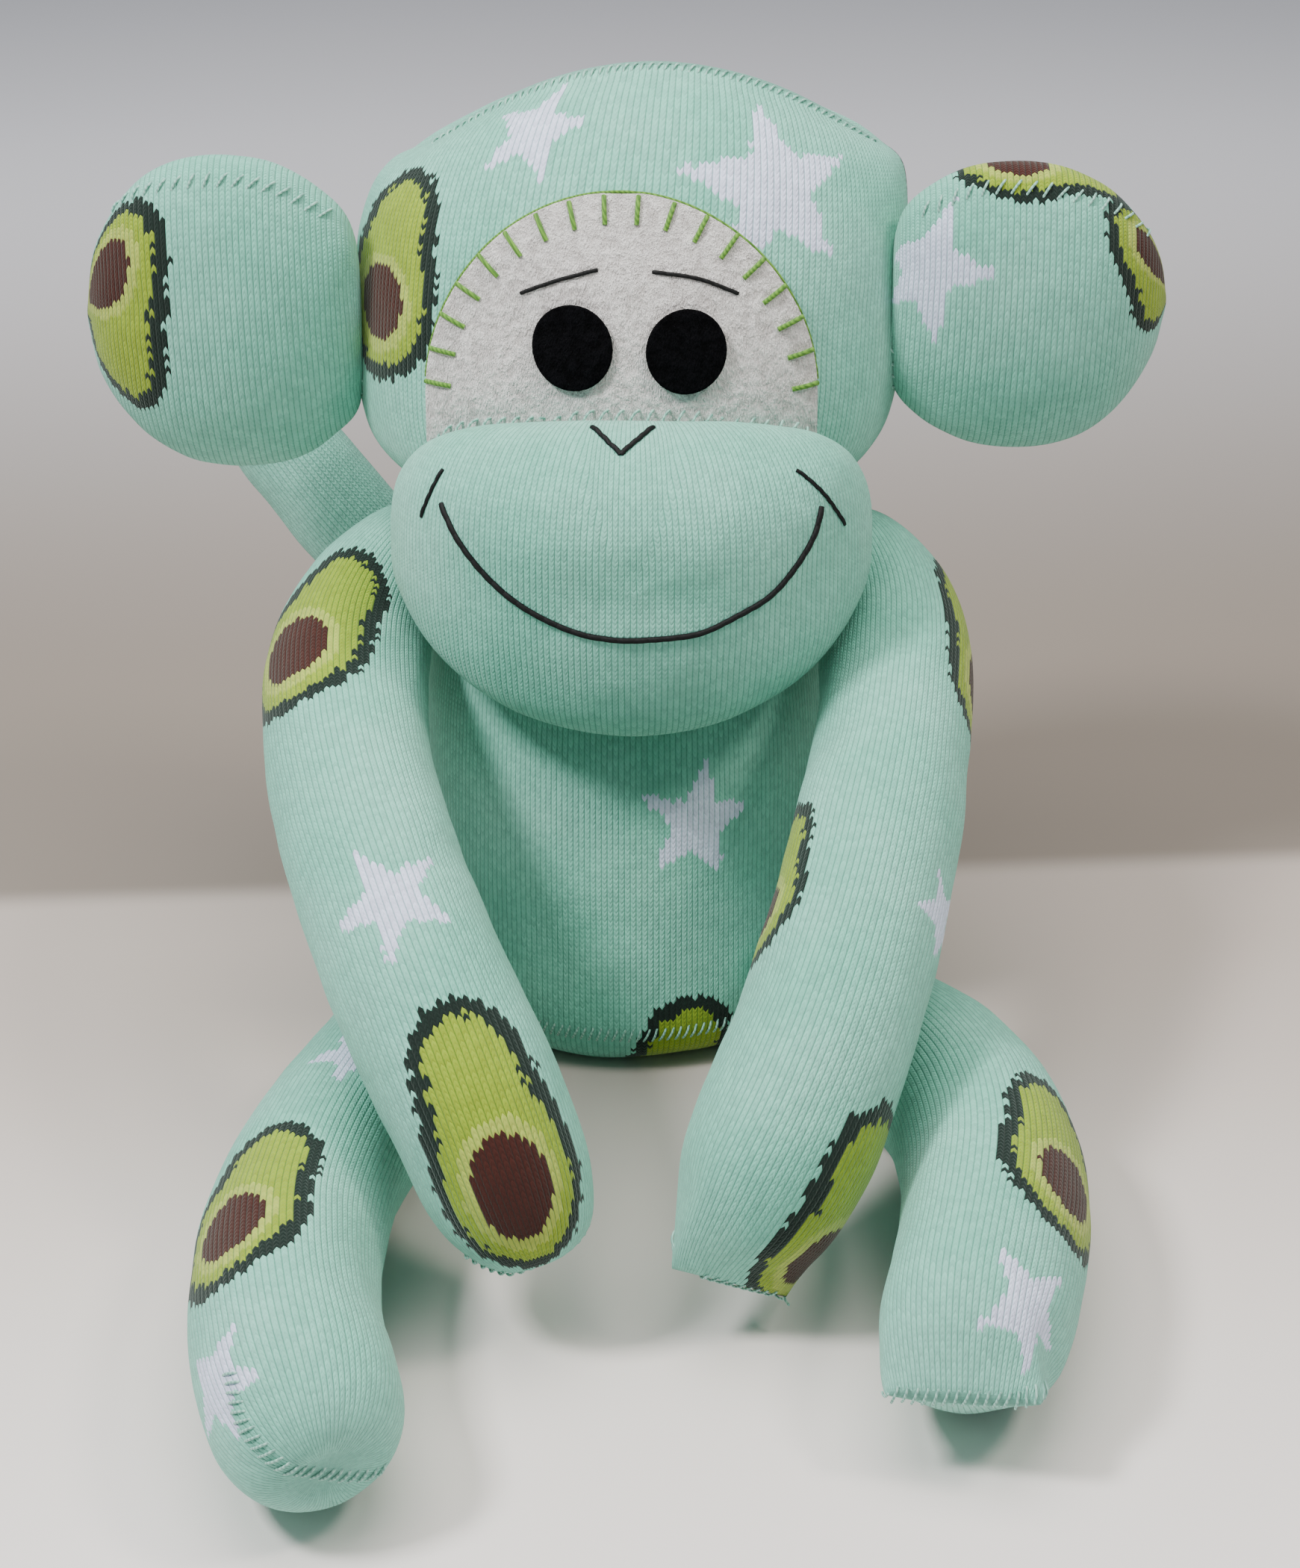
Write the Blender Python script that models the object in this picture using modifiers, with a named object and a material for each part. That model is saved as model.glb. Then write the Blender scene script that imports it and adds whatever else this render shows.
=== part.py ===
"""A stuffed sock monkey, sitting: knitted covers, each with its own stuffing and seams.

Frame: +Z up, the toy faces -Y, and its own left side is towards +X.
The origin is the centre of the flat patch that it sits on. Sizes below are in
millimetres, and MM turns them into Blender's metres.
"""

import math

import bmesh
import bpy
from mathutils import Vector
from mathutils.bvhtree import BVHTree

MM = 0.001

# Driving sizes
KNIT = 1.0              # wall of a knitted cover
FELT = 1.5              # felt of the face patch and the eyes
GAP = 0.35              # air between pieces that touch on the real toy
THREAD = 0.5            # radius of the sewing and embroidery thread
THREAD_GAP = 0.65       # air under a thread, where it bridges the facets of a cover
BODY_SIDES = 10         # cage sides of the torso, head and muzzle
EAR_SIDES = 8
LIMB_SIDES = 6

# Torso: height, centre x and y, half width, half depth and side drop of each section
TORSO = [
    (0, 0, -1, 26, 24, 0),
    (0, 0, -2, 41, 38, 0),
    (9, 0, -1.5, 45.5, 43, 0),
    (34, 0, 3, 45, 41.5, 0),
    (64, 0, 9.5, 43.5, 39, 0),
    (86, 0, 15, 37, 33, 0),
    (97, 0, 18, 26, 24, 0),
    (101, 0, 19, 13, 12.5, 0),
]

# Head: height, centre x and y, half width, half depth and side drop of each section
HEAD = [
    (108.5, 0, 20, 13, 12.5, 0),
    (110.5, 0, 20, 37, 29, 0),
    (119, 0, 21.5, 54.5, 36, 0),
    (142, 0.5, 26, 58, 36.5, 0),
    (167, 2, 31, 58.5, 33, 3),
    (187, 4, 35, 54, 21, 9),
    (198.5, 6, 37.5, 46, 5, 17),
]

# Muzzle bowl, rim first: half width, rise, fall, centre height, then y at the top,
# the sides and the bottom of the section. Its upper half is squared to a wide D.
MUZZLE = [
    (44, 27, 21, 109.5, -15, -1.5, -22.5),
    (48.5, 30, 27, 108.5, -18.5, -6, -26.5),
    (49.5, 29, 33, 107.5, -26, -14, -31),
    (42, 24, 28, 107.5, -35.5, -28, -38.5),
    (22, 13, 15, 109.5, -42, -41, -43),
]
MUZZLE_SQUARENESS = 0.62

# Ears: distance out from the side of the head, half height, half thickness
EAR_ROOT_X = 58.3
EAR_Y = 17
EAR = [
    (0, 21, 4.5),
    (2.5, 27, 8.5),
    (13, 34, 13),
    (29, 35.5, 14),
    (42, 31, 12.5),
    (51, 20, 7.5),
    (54, 9, 3),
]
# Each ear: its side, middle height, size and how much its top falls outwards
EARS = {
    "left_ear": (1, 149.0, 0.93, 5.5),
    "right_ear": (-1, 146.0, 0.98, 0.0),
}

# Limbs: a path of points, each with the radius of the tube there. The path starts
# inside the ball that the limb turns about and ends at its sewn tip.
RIGHT_SHOULDER = (-47, 12, 97)
LEFT_SHOULDER = (47, 12, 97)
RIGHT_ARM = [
    ((-40.5, 21, 101.5), 6.5),
    ((-43.5, 17, 99.5), 12),
    ((-50.5, 8, 95), 14.5),
    ((-58.5, -6, 87), 17.2),
    ((-59, -26, 78), 18.5),
    ((-52, -55, 69), 18.8),
    ((-39, -89, 58), 18.8),
    ((-26.5, -113, 43.5), 18.5),
    ((-19.5, -123.5, 30.5), 17.8),
    ((-16.5, -127.5, 20.5), 12.5),
]
LEFT_ARM = [
    ((40.5, 21, 101.5), 6.5),
    ((43.5, 17, 99.5), 12),
    ((50.5, 8, 95), 14.5),
    ((56.5, -6, 87), 16.5),
    ((54, -26, 76.5), 17.5),
    ((48.5, -54, 66), 18.5),
    ((41, -84, 53.5), 19),
    ((31.5, -109, 40), 19.5),
    ((24, -121.5, 25.5), 19),
    ((20.5, -127, 15), 14.5),
]
RIGHT_HIP = (-38, -46, 18.5)
LEFT_HIP = (38.5, -45.5, 18.5)
RIGHT_LEG = [
    ((-31, -34.5, 18.5), 7),
    ((-33.5, -39, 18.5), 12.5),
    ((-38.5, -48, 18.5), 16.5),
    ((-47, -71, 19), 18.5),
    ((-56.5, -101, 19.5), 19.3),
    ((-60, -131, 19.5), 19.5),
    ((-56, -158, 19.5), 19.8),
    ((-51, -173, 18.8), 18.8),
    ((-48, -181.5, 17.8), 14),
]
LEFT_LEG = [
    ((31, -34, 18.5), 7),
    ((33.5, -38.5, 18.5), 12.5),
    ((39.5, -48, 18.5), 16.5),
    ((54.5, -62, 19), 18.5),
    ((66.5, -84, 19.5), 19.5),
    ((68.5, -113, 19.8), 19.8),
    ((63, -140, 19.8), 19.8),
    ((59.5, -154, 19), 19),
    ((58, -162, 18), 14.5),
]
TAIL_ROOT = (-4, 56, 22)
TAIL = [
    ((-1, 46, 20.5), 6.5),
    ((-2, 50, 21), 10.5),
    ((-5, 57, 23), 12.5),
    ((-22, 62, 33), 13.5),
    ((-42, 60, 57), 14),
    ((-62, 60, 84), 14),
    ((-82, 64, 108), 13.5),
    ((-93, 67, 130), 12.5),
    ((-96, 68, 148), 9),
    ((-96.5, 68, 153), 4.5),
]

# Face, as seen from the front: x and z on the toy
PATCH_X = -0.8
PATCH_Z = 138.3
PATCH_RADIUS = 39.8
PATCH_HEIGHT = 38.5     # from PATCH_Z to the top of the arch
PATCH_BOTTOM = 137.5
BLANKET_SPOKES = 17
SPOKE_LENGTH = 6.0
EYE_RADIUS = 8.0
EYES = {"right_eye": (-10.3, 150.0), "left_eye": (12.1, 149.5)}
BROWS = {
    "right_brow": [(-21.4, 159.4), (-13.5, 162.3), (-4.8, 164.8)],
    "left_brow": [(4.8, 164.2), (14.5, 162.7), (23.2, 159.5)],
}

# Each moving body: a point on its joint's axis, the body it hangs on (none is the
# torso), and how the names of its pieces begin
FACE_PIECES = ("face", "patch", "left_eye", "right_eye", "left_brow", "right_brow", "nose")
MUZZLE_PIECES = ("muzzle", "mouth", "left_cheek", "right_cheek")
BODIES = {
    "head": (
        (0, 19, 104.5), None,
        ("head", "crown", "left_ear_root", "right_ear_root") + FACE_PIECES + MUZZLE_PIECES,
    ),
    "left_ear": ((60, 17, 147.5), "head", ("left_ear_cover", "left_ear_stuffing", "left_ear_seam")),
    "right_ear": (
        (-60, 17, 145.3), "head", ("right_ear_cover", "right_ear_stuffing", "right_ear_seam"),
    ),
    "left_arm": (LEFT_SHOULDER, None, ("left_arm", "left_hand")),
    "right_arm": (RIGHT_SHOULDER, None, ("right_arm", "right_hand")),
    "left_leg": (LEFT_HIP, None, ("left_leg", "left_toe")),
    "right_leg": (RIGHT_HIP, None, ("right_leg", "right_toe")),
    "tail": (TAIL_ROOT, None, ("tail_cover", "tail_stuffing", "tail_tip")),
}

# Colours: linear RGB
MINT = (0.42, 0.73, 0.62)
FELT_WHITE = (0.71, 0.67, 0.65)
BLACK = (0.006, 0.006, 0.008)
GREEN_THREAD = (0.21, 0.44, 0.07)
MINT_THREAD = (0.33, 0.60, 0.52)
FILL_WHITE = (0.80, 0.80, 0.78)


def empty_scene():
    """Removes every object of the opened scene."""
    for stray in list(bpy.data.objects):
        bpy.data.objects.remove(stray, do_unlink=True)


def new_collection(name):
    """Makes a collection and links it to the scene."""
    collection = bpy.data.collections.new(name)
    bpy.context.scene.collection.children.link(collection)
    return collection


def dress(thing, colour, roughness=0.9):
    """Gives an object its own matt material."""
    material = bpy.data.materials.new(thing.name)
    material.use_nodes = True
    shader = material.node_tree.nodes["Principled BSDF"]
    shader.inputs["Base Color"].default_value = (*colour, 1)
    shader.inputs["Roughness"].default_value = roughness
    shader.inputs["Metallic"].default_value = 0
    thing.data.materials.append(material)
    return thing


def roundness(sides):
    """How much a cage ring of so many sides shrinks at the first subdivision."""
    step = 2 * math.pi / sides
    return (0.75 + 0.25 * math.cos(step) + math.cos(step / 2)) / 2


def level_ring(centre, half_width, half_depth, drop, sides):
    """A level oval section whose sides hang lower by drop."""
    swell = 1 / roundness(sides)
    ring = []
    for index in range(sides):
        turn = 2 * math.pi * index / sides
        offset = Vector((half_width * math.cos(turn), half_depth * math.sin(turn), 0)) * swell
        sag = drop * math.cos(turn) ** 2
        ring.append(Vector(centre) + offset - Vector((0, 0, sag)))
    return ring


def stacked_rings(levels, sides, inset=0.0):
    """Sections of the torso or the head, each one smaller by inset."""
    rings = []
    for height, x, y, half_width, half_depth, drop in levels:
        depth = max(half_depth - inset, 1.2)
        rings.append(level_ring((x, y, height), half_width - inset, depth, drop, sides))
    return rings


def bowl_rings(levels, inset=0.0, shy=0.0):
    """Sections of the muzzle, from its rim on the face to its front. shy narrows them."""
    swell = 1 / roundness(BODY_SIDES)
    rings = []
    for half_width, rise, fall, middle, top_y, side_y, bottom_y in levels:
        ring = []
        for index in range(BODY_SIDES):
            turn = 2 * math.pi * index / BODY_SIDES
            along, up = math.cos(turn), math.sin(turn)
            reach = (rise if up > 0 else fall) - inset
            end_y = top_y if up > 0 else bottom_y
            y = side_y + (end_y - side_y) * up * up
            if up > 0.01:
                along = math.copysign(abs(along) ** MUZZLE_SQUARENESS, along)
                up = up ** MUZZLE_SQUARENESS
            ring.append(Vector((
                (half_width - inset - shy) * along * swell,
                y + inset,
                middle + (reach - shy) * up * swell,
            )))
        rings.append(ring)
    return rings


def limb_rings(path, sides, inset=0.0):
    """Round sections square to a limb's path, turned as little as possible."""
    points = [Vector(point) for point, radius in path]
    swell = 1 / roundness(sides)
    across = None
    rings = []
    for index, (point, radius) in enumerate(path):
        before = points[max(index - 1, 0)]
        after = points[min(index + 1, len(points) - 1)]
        along = (after - before).normalized()
        if across is None:
            across = along.cross(Vector((0, 0, 1))).normalized()
        across = (across - along * across.dot(along)).normalized()
        up = along.cross(across)
        size = max(radius - inset, 1.0) * swell
        ring = []
        for step in range(sides):
            turn = 2 * math.pi * step / sides
            offset = across * math.cos(turn) + up * math.sin(turn)
            ring.append(points[index] + offset * size)
        rings.append(ring)
    return rings


def ear_rings(side, middle_z, size, droop, inset=0.0):
    """Upright oval sections of an ear, from its root outwards. side is -1 or 1."""
    swell = 1 / roundness(EAR_SIDES)
    reach = EAR[-1][0]
    rings = []
    for out, half_height, half_thickness in EAR:
        ring = []
        for index in range(EAR_SIDES):
            turn = 2 * math.pi * index / EAR_SIDES
            up = math.sin(turn)
            height = (half_height * size - inset) * up * swell
            if up > 0:
                height -= droop * out / reach
            ring.append(Vector((
                side * (EAR_ROOT_X + out - inset * out / reach),
                EAR_Y + max(half_thickness - inset, 0.8) * math.cos(turn) * swell,
                middle_z + height,
            )))
        rings.append(ring)
    return rings


def shell_from(name, rings, collection, close_first, zip_last):
    """A surface through rings. The last one is closed flat, or zipped front to back."""
    mesh = bmesh.new()
    sides = len(rings[0])
    rows = [[mesh.verts.new(point * MM) for point in ring] for ring in rings]
    for lower, upper in zip(rows, rows[1:]):
        for index in range(sides):
            following = (index + 1) % sides
            mesh.faces.new((lower[index], lower[following], upper[following], upper[index]))
    if close_first:
        mesh.faces.new(rows[0])
    last = rows[-1]
    if zip_last:
        half = sides // 2
        mesh.faces.new((last[0], last[1], last[sides - 1]))
        for index in range(1, half - 1):
            mesh.faces.new((
                last[index], last[index + 1], last[sides - index - 1], last[sides - index],
            ))
        mesh.faces.new((last[half - 1], last[half], last[half + 1]))
    else:
        mesh.faces.new(last)
    bmesh.ops.recalc_face_normals(mesh, faces=mesh.faces)
    return finish_mesh(name, mesh, collection)


def finish_mesh(name, mesh, collection):
    """Turns a bmesh into an object of the collection."""
    data = bpy.data.meshes.new(name)
    mesh.to_mesh(data)
    mesh.free()
    thing = bpy.data.objects.new(name, data)
    collection.objects.link(thing)
    return thing


def soften(thing, level=1):
    """Subdivides a cage into a soft form."""
    subdivision = thing.modifiers.new("soft form", "SUBSURF")
    subdivision.levels = level
    subdivision.render_levels = level
    thing.data.shade_smooth()


def thicken(thing, thickness, offset=-1):
    """Gives an open surface its wall, inwards by default."""
    wall = thing.modifiers.new("wall", "SOLIDIFY")
    wall.thickness = thickness * MM
    wall.offset = offset


def face_outwards(thing, inside):
    """Turns the faces of an open cage away from a point inside it."""
    mesh = bmesh.new()
    mesh.from_mesh(thing.data)
    votes = 0.0
    for face in mesh.faces:
        away = face.calc_center_median() - Vector(inside) * MM
        votes += face.normal.dot(away) * face.calc_area()
    if votes < 0:
        bmesh.ops.reverse_faces(mesh, faces=mesh.faces)
    mesh.to_mesh(thing.data)
    mesh.free()


def cover_and_stuffing(prefix, cover_rings, fill_rings, inside, collection, seat=False, zip_last=False):
    """A knitted cover, open where its last seam is, and the stuffing inside it."""
    cover = shell_from(f"{prefix}_cover", cover_rings, collection, seat, zip_last)
    if seat:
        cover = open_last_ring(cover, cover_rings[-1])
    face_outwards(cover, inside)
    soften(cover)
    thicken(cover, KNIT)
    dress(cover, MINT)
    filling = shell_from(f"{prefix}_stuffing", fill_rings, collection, True, zip_last)
    face_outwards(filling, inside)
    soften(filling)
    dress(filling, FILL_WHITE, 1.0)
    return cover, filling


def open_last_ring(cover, ring):
    """Removes the flat face that closes the last ring of a cover."""
    mesh = bmesh.new()
    mesh.from_mesh(cover.data)
    corners = len(ring)
    height = max(point.z for point in ring) * MM
    lids = [
        face for face in mesh.faces
        if len(face.verts) == corners and abs(face.calc_center_median().z - height) < MM
    ]
    bmesh.ops.delete(mesh, geom=lids, context="FACES_ONLY")
    mesh.to_mesh(cover.data)
    mesh.free()
    return cover


def surface_of(thing):
    """A search tree of an object's finished surface."""
    bpy.context.view_layer.update()
    return BVHTree.FromObject(thing, bpy.context.evaluated_depsgraph_get())


def smooth_points(corners, steps):
    """Points of a smooth curve that passes through the corners."""
    spots = [Vector(corner) for corner in corners]
    spots = [2 * spots[0] - spots[1]] + spots + [2 * spots[-1] - spots[-2]]
    points = []
    for index in range(1, len(spots) - 2):
        a, b, c, d = spots[index - 1:index + 3]
        for step in range(steps):
            t = step / steps
            points.append(0.5 * (
                2 * b + (c - a) * t + (2 * a - 5 * b + 4 * c - d) * t * t
                + (3 * b - a - 3 * c + d) * t ** 3
            ))
    points.append(spots[-2])
    return points


def sew(name, guide, surface, collection, colour=MINT_THREAD, radius=THREAD, closed=False, front=False):
    """A thread that lies on a surface beside the guide points, or behind them as seen from the front."""
    curve = bpy.data.curves.new(name, "CURVE")
    curve.dimensions = "3D"
    curve.bevel_depth = radius * MM
    curve.bevel_resolution = 0
    curve.use_fill_caps = True
    spline = curve.splines.new("POLY")
    spline.points.add(len(guide) - 1)
    spline.use_cyclic_u = closed
    for spot, point in zip(spline.points, guide):
        if front:
            place, normal, _, _ = surface.ray_cast(Vector((point[0], -80, point[2])) * MM, Vector((0, 1, 0)))
        else:
            place, normal, _, _ = surface.find_nearest(Vector(point) * MM)
        spot.co = (*(place + normal * (radius + THREAD_GAP) * MM), 1)
    thread = bpy.data.objects.new(name, curve)
    collection.objects.link(thread)
    return dress(thread, colour)


def ring_guide(centre, facing, radius, count=12, tall=1.0):
    """Points of a circle, or a tall oval, that faces along a direction."""
    facing = Vector(facing).normalized()
    across = facing.cross(Vector((0, 0, 1))).normalized()
    up = across.cross(facing)
    points = []
    for index in range(count):
        turn = 2 * math.pi * index / count
        points.append(
            Vector(centre) + across * radius * math.cos(turn) + up * radius * tall * math.sin(turn)
        )
    return points


def felt_piece(name, outline_grid, target, lift, colour, collection):
    """A sheet of felt laid on a target from the front, from rows of (x, z) places."""
    start_y = -60
    mesh = bmesh.new()
    rows = [[mesh.verts.new(Vector((x, start_y, z)) * MM) for x, z in row] for row in outline_grid]
    for lower, upper in zip(rows, rows[1:]):
        for index in range(len(lower) - 1):
            mesh.faces.new((lower[index], lower[index + 1], upper[index + 1], upper[index]))
    bmesh.ops.recalc_face_normals(mesh, faces=mesh.faces)
    sheet = finish_mesh(name, mesh, collection)
    face_outwards(sheet, (0, 0, 150))
    lay = sheet.modifiers.new("lay on", "SHRINKWRAP")
    lay.target = target
    lay.wrap_method = "PROJECT"
    lay.wrap_mode = "OUTSIDE_SURFACE"
    lay.use_project_y = True
    lay.use_positive_direction = True
    lay.use_negative_direction = False
    lay.offset = lift * MM
    thicken(sheet, FELT, 1)
    return dress(sheet, colour)


def patch_grid(columns=14, rows=4):
    """Rows of places over the arched face patch."""
    grid = []
    for row in range(rows + 1):
        line = []
        for column in range(columns + 1):
            turn = math.pi * column / columns
            x = -PATCH_RADIUS * math.cos(turn) * 0.995
            top = PATCH_Z + PATCH_HEIGHT * math.sqrt(1 - (x / PATCH_RADIUS) ** 2)
            z = PATCH_BOTTOM + (top - PATCH_BOTTOM) * row / rows
            line.append((PATCH_X + x, z))
        grid.append(line)
    return grid


def disc_grid(centre_x, centre_z, radius, count=6):
    """Rows of places over a round disc, by squeezing a square grid into it."""
    grid = []
    for row in range(count + 1):
        line = []
        for column in range(count + 1):
            u = 2 * column / count - 1
            v = 2 * row / count - 1
            x = u * math.sqrt(1 - v * v / 2)
            z = v * math.sqrt(1 - u * u / 2)
            line.append((centre_x + radius * x, centre_z + radius * z))
        grid.append(line)
    return grid


def blanket_guide():
    """One thread round the arch of the patch that dips in and out again at each spoke."""
    edge = PATCH_RADIUS - 1.2
    pair = 0.9 / PATCH_RADIUS
    first, last = math.radians(8), math.radians(172)
    points = []
    for spoke in range(BLANKET_SPOKES):
        turn = last + (first - last) * spoke / (BLANKET_SPOKES - 1)
        for radius, angle in (
            (edge, turn + pair),
            (edge - SPOKE_LENGTH, turn + pair),
            (edge - SPOKE_LENGTH, turn - pair),
            (edge, turn - pair),
        ):
            rise = radius * math.sin(angle) * PATCH_HEIGHT / PATCH_RADIUS
            points.append((PATCH_X + radius * math.cos(angle), -20, PATCH_Z + rise))
    return points


def make_torso(collection):
    """The body tube with its flat seat, its stuffing, and the seam across its front."""
    fill = [(max(2, height), *rest) for height, *rest in TORSO[:-1]]
    cover, _ = cover_and_stuffing(
        "torso",
        stacked_rings(TORSO, BODY_SIDES),
        stacked_rings(fill, BODY_SIDES, KNIT + GAP + 0.4),
        (0, 8, 50),
        collection,
        seat=True,
    )
    surface = surface_of(cover)
    seam = [(x, -44 + abs(x) * 0.12, 9 + x * x * 0.004) for x in (-15, -10, -5, 0, 5, 10, 15)]
    sew("base_seam", smooth_points(seam, 2), surface, collection)
    sew("neck_thread", ring_guide((0, 18.5, 104), (0, 0.01, 1), 19, 20), surface, collection, closed=True)
    return surface


def make_head(collection):
    """The flattened head tube, its stuffing and the seam over its crown."""
    fill = [
        (height + (1.8 if index < 2 else 0) - (4 if index == len(HEAD) - 1 else 0), *rest)
        for index, (height, *rest) in enumerate(HEAD)
    ]
    cover, _ = cover_and_stuffing(
        "head",
        stacked_rings(HEAD, BODY_SIDES),
        stacked_rings(fill, BODY_SIDES, KNIT + GAP + 0.4),
        (0, 26, 150),
        collection,
        zip_last=True,
    )
    surface = surface_of(cover)
    crown = []
    for step in range(15):
        x = -49 + 7 * step
        crown.append((x + 6, 37, 208 - 0.01 * x * x))
    sew("crown_seam", crown, surface, collection)
    return cover, surface


def make_face(head, collection):
    """The felt patch with its blanket stitch, the eyes, the brows and the nose."""
    patch = felt_piece("face_patch", patch_grid(), head, 1.0, FELT_WHITE, collection)
    on_patch = surface_of(patch)
    sew("patch_stitch", blanket_guide(), on_patch, collection, GREEN_THREAD, 0.35, front=True)
    for name, (x, z) in EYES.items():
        felt_piece(name, disc_grid(x, z, EYE_RADIUS), patch, 0.5, BLACK, collection)
    for name, places in BROWS.items():
        guide = smooth_points([(x, -14, z) for x, z in places], 3)
        sew(name, guide, on_patch, collection, BLACK, 0.4, front=True)


def make_muzzle(collection):
    """The bowl sewn to the face, its stuffing, and the stitched mouth and cheeks."""
    inset = KNIT + GAP + 0.4
    fill = bowl_rings(MUZZLE[1:2], inset, 5) + bowl_rings(MUZZLE[2:], inset, 0.8)
    cover, _ = cover_and_stuffing(
        "muzzle",
        bowl_rings(MUZZLE),
        fill,
        (0, -5, 108),
        collection,
    )
    surface = surface_of(cover)
    rim = [(x, -16 + 0.006 * x * x, 141 - 0.004 * x * x) for x in range(-42, 43, 6)]
    sew("muzzle_seam", rim, surface, collection)
    mouth = [(-35.5, -30, 121.5), (-32, -35, 117.5), (-22, -40, 109), (-8.6, -45, 102.5),
             (7, -45, 101.5), (22, -40, 105), (33.5, -35, 113), (37.5, -30, 119.5)]
    sew("mouth_stitch", smooth_points(mouth, 5), surface, collection, BLACK, 0.55, front=True)
    cheeks = {
        "right_cheek_stitch": [(-37.5, -32, 130), (-42, -34, 124.5), (-45.5, -36, 118.5)],
        "left_cheek_stitch": [(37.5, -32, 130), (43, -34, 124), (48.5, -36, 116.5)],
    }
    for name, corners in cheeks.items():
        sew(name, smooth_points(corners, 3), surface, collection, BLACK, 0.45)
    nose = [(-6.2, -24, 136), (-3.5, -27, 134.8), (-0.7, -30, 133), (2.2, -27, 134.8), (5.5, -24, 136)]
    sew("nose_stitch", smooth_points(nose, 3), surface, collection, BLACK, 0.45, front=True)


def make_ears(on_head, collection):
    """Both ears, the thread along each top edge and the stitches at each root."""
    inset = KNIT + GAP + 0.4
    for prefix, (side, middle_z, size, droop) in EARS.items():
        cover, _ = cover_and_stuffing(
            prefix,
            ear_rings(side, middle_z, size, droop),
            ear_rings(side, middle_z, size, droop, inset)[1:],
            (side * (EAR_ROOT_X + 26), EAR_Y, middle_z),
            collection,
            zip_last=True,
        )
        top = middle_z + 42 * size - droop / 2
        seam = [
            (side * (EAR_ROOT_X + out), EAR_Y, top - 0.012 * (out - 14) ** 2)
            for out in range(6, 49, 6)
        ]
        sew(f"{prefix}_seam", seam, surface_of(cover), collection)
        root = ring_guide((side * 59, EAR_Y, middle_z), (side, 0, 0), 11, 28, 2.7)
        sew(f"{prefix}_root_stitch", root, on_head, collection)


def make_limb(prefix, seam_name, path, collection):
    """A stuffed tube with the seam thread across its closed tip."""
    fill_path = [(point, radius) for point, radius in path[1:-1]]
    tip, tip_radius = path[-1]
    before = Vector(path[-2][0])
    shy_tip = Vector(tip).lerp(before, 0.28)
    fill_path.append((tuple(shy_tip), tip_radius))
    middle = path[len(path) // 2][0]
    cover, _ = cover_and_stuffing(
        prefix,
        limb_rings(path, LIMB_SIDES),
        limb_rings(fill_path, LIMB_SIDES, KNIT + GAP + 0.4),
        middle,
        collection,
    )
    along = (Vector(tip) - before).normalized()
    across = along.cross(Vector((0, 0, 1))).normalized()
    width = path[-2][1]
    seam = []
    for step in range(9):
        turn = math.pi * (0.12 + 0.76 * step / 8)
        seam.append(
            before + across * width * 1.2 * math.cos(turn) + along * width * 1.6 * math.sin(turn)
        )
    sew(seam_name, seam, surface_of(cover), collection)


def make_limbs(on_torso, collection):
    """Arms, legs and tail, and the ring of stitches that holds each to the torso."""
    limbs = (
        ("right_arm", "right_hand_seam", RIGHT_ARM, "right_shoulder_stitch", RIGHT_SHOULDER, 9),
        ("left_arm", "left_hand_seam", LEFT_ARM, "left_shoulder_stitch", LEFT_SHOULDER, 9),
        ("right_leg", "right_toe_seam", RIGHT_LEG, "right_hip_stitch", RIGHT_HIP, 10),
        ("left_leg", "left_toe_seam", LEFT_LEG, "left_hip_stitch", LEFT_HIP, 10),
        ("tail", "tail_tip_seam", TAIL, "tail_root_stitch", TAIL_ROOT, 8),
    )
    for prefix, seam_name, path, stitch_name, pivot, radius in limbs:
        make_limb(prefix, seam_name, path, collection)
        contact, normal, _, _ = on_torso.find_nearest(Vector(pivot) * MM)
        ring = ring_guide(contact / MM, normal, radius, 12)
        sew(stitch_name, ring, on_torso, collection, closed=True)


def hang_bodies(collection):
    """Puts an empty on each joint's axis and hangs that body's pieces on it."""
    pieces = list(collection.objects)
    pivots = {}
    for body, (place, parent, names) in BODIES.items():
        pivot = bpy.data.objects.new(f"{body}_pivot", None)
        pivot.empty_display_size = 10 * MM
        collection.objects.link(pivot)
        pivot.location = Vector(place) * MM
        if parent:
            pivot.parent = pivots[parent]
            pivot.location -= pivots[parent].location
        pivots[body] = pivot
        for piece in pieces:
            if piece.name.startswith(names):
                piece.parent = pivot
                piece.location = -Vector(place) * MM


def main():
    """Builds the toy, piece by piece."""
    empty_scene()
    toy = new_collection("stuffed_monkey")
    on_torso = make_torso(toy)
    head, on_head = make_head(toy)
    make_face(head, toy)
    make_muzzle(toy)
    make_ears(on_head, toy)
    make_limbs(on_torso, toy)
    hang_bodies(toy)


main()
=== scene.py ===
"""A hand sewn sock monkey, sitting: knitted covers over fibre fill, felt face and hand stitching."""

import logging
import math
from dataclasses import dataclass, field
from enum import Enum

import bmesh
import bpy
import numpy as np
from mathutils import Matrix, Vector, noise
from mathutils.bvhtree import BVHTree


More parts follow.
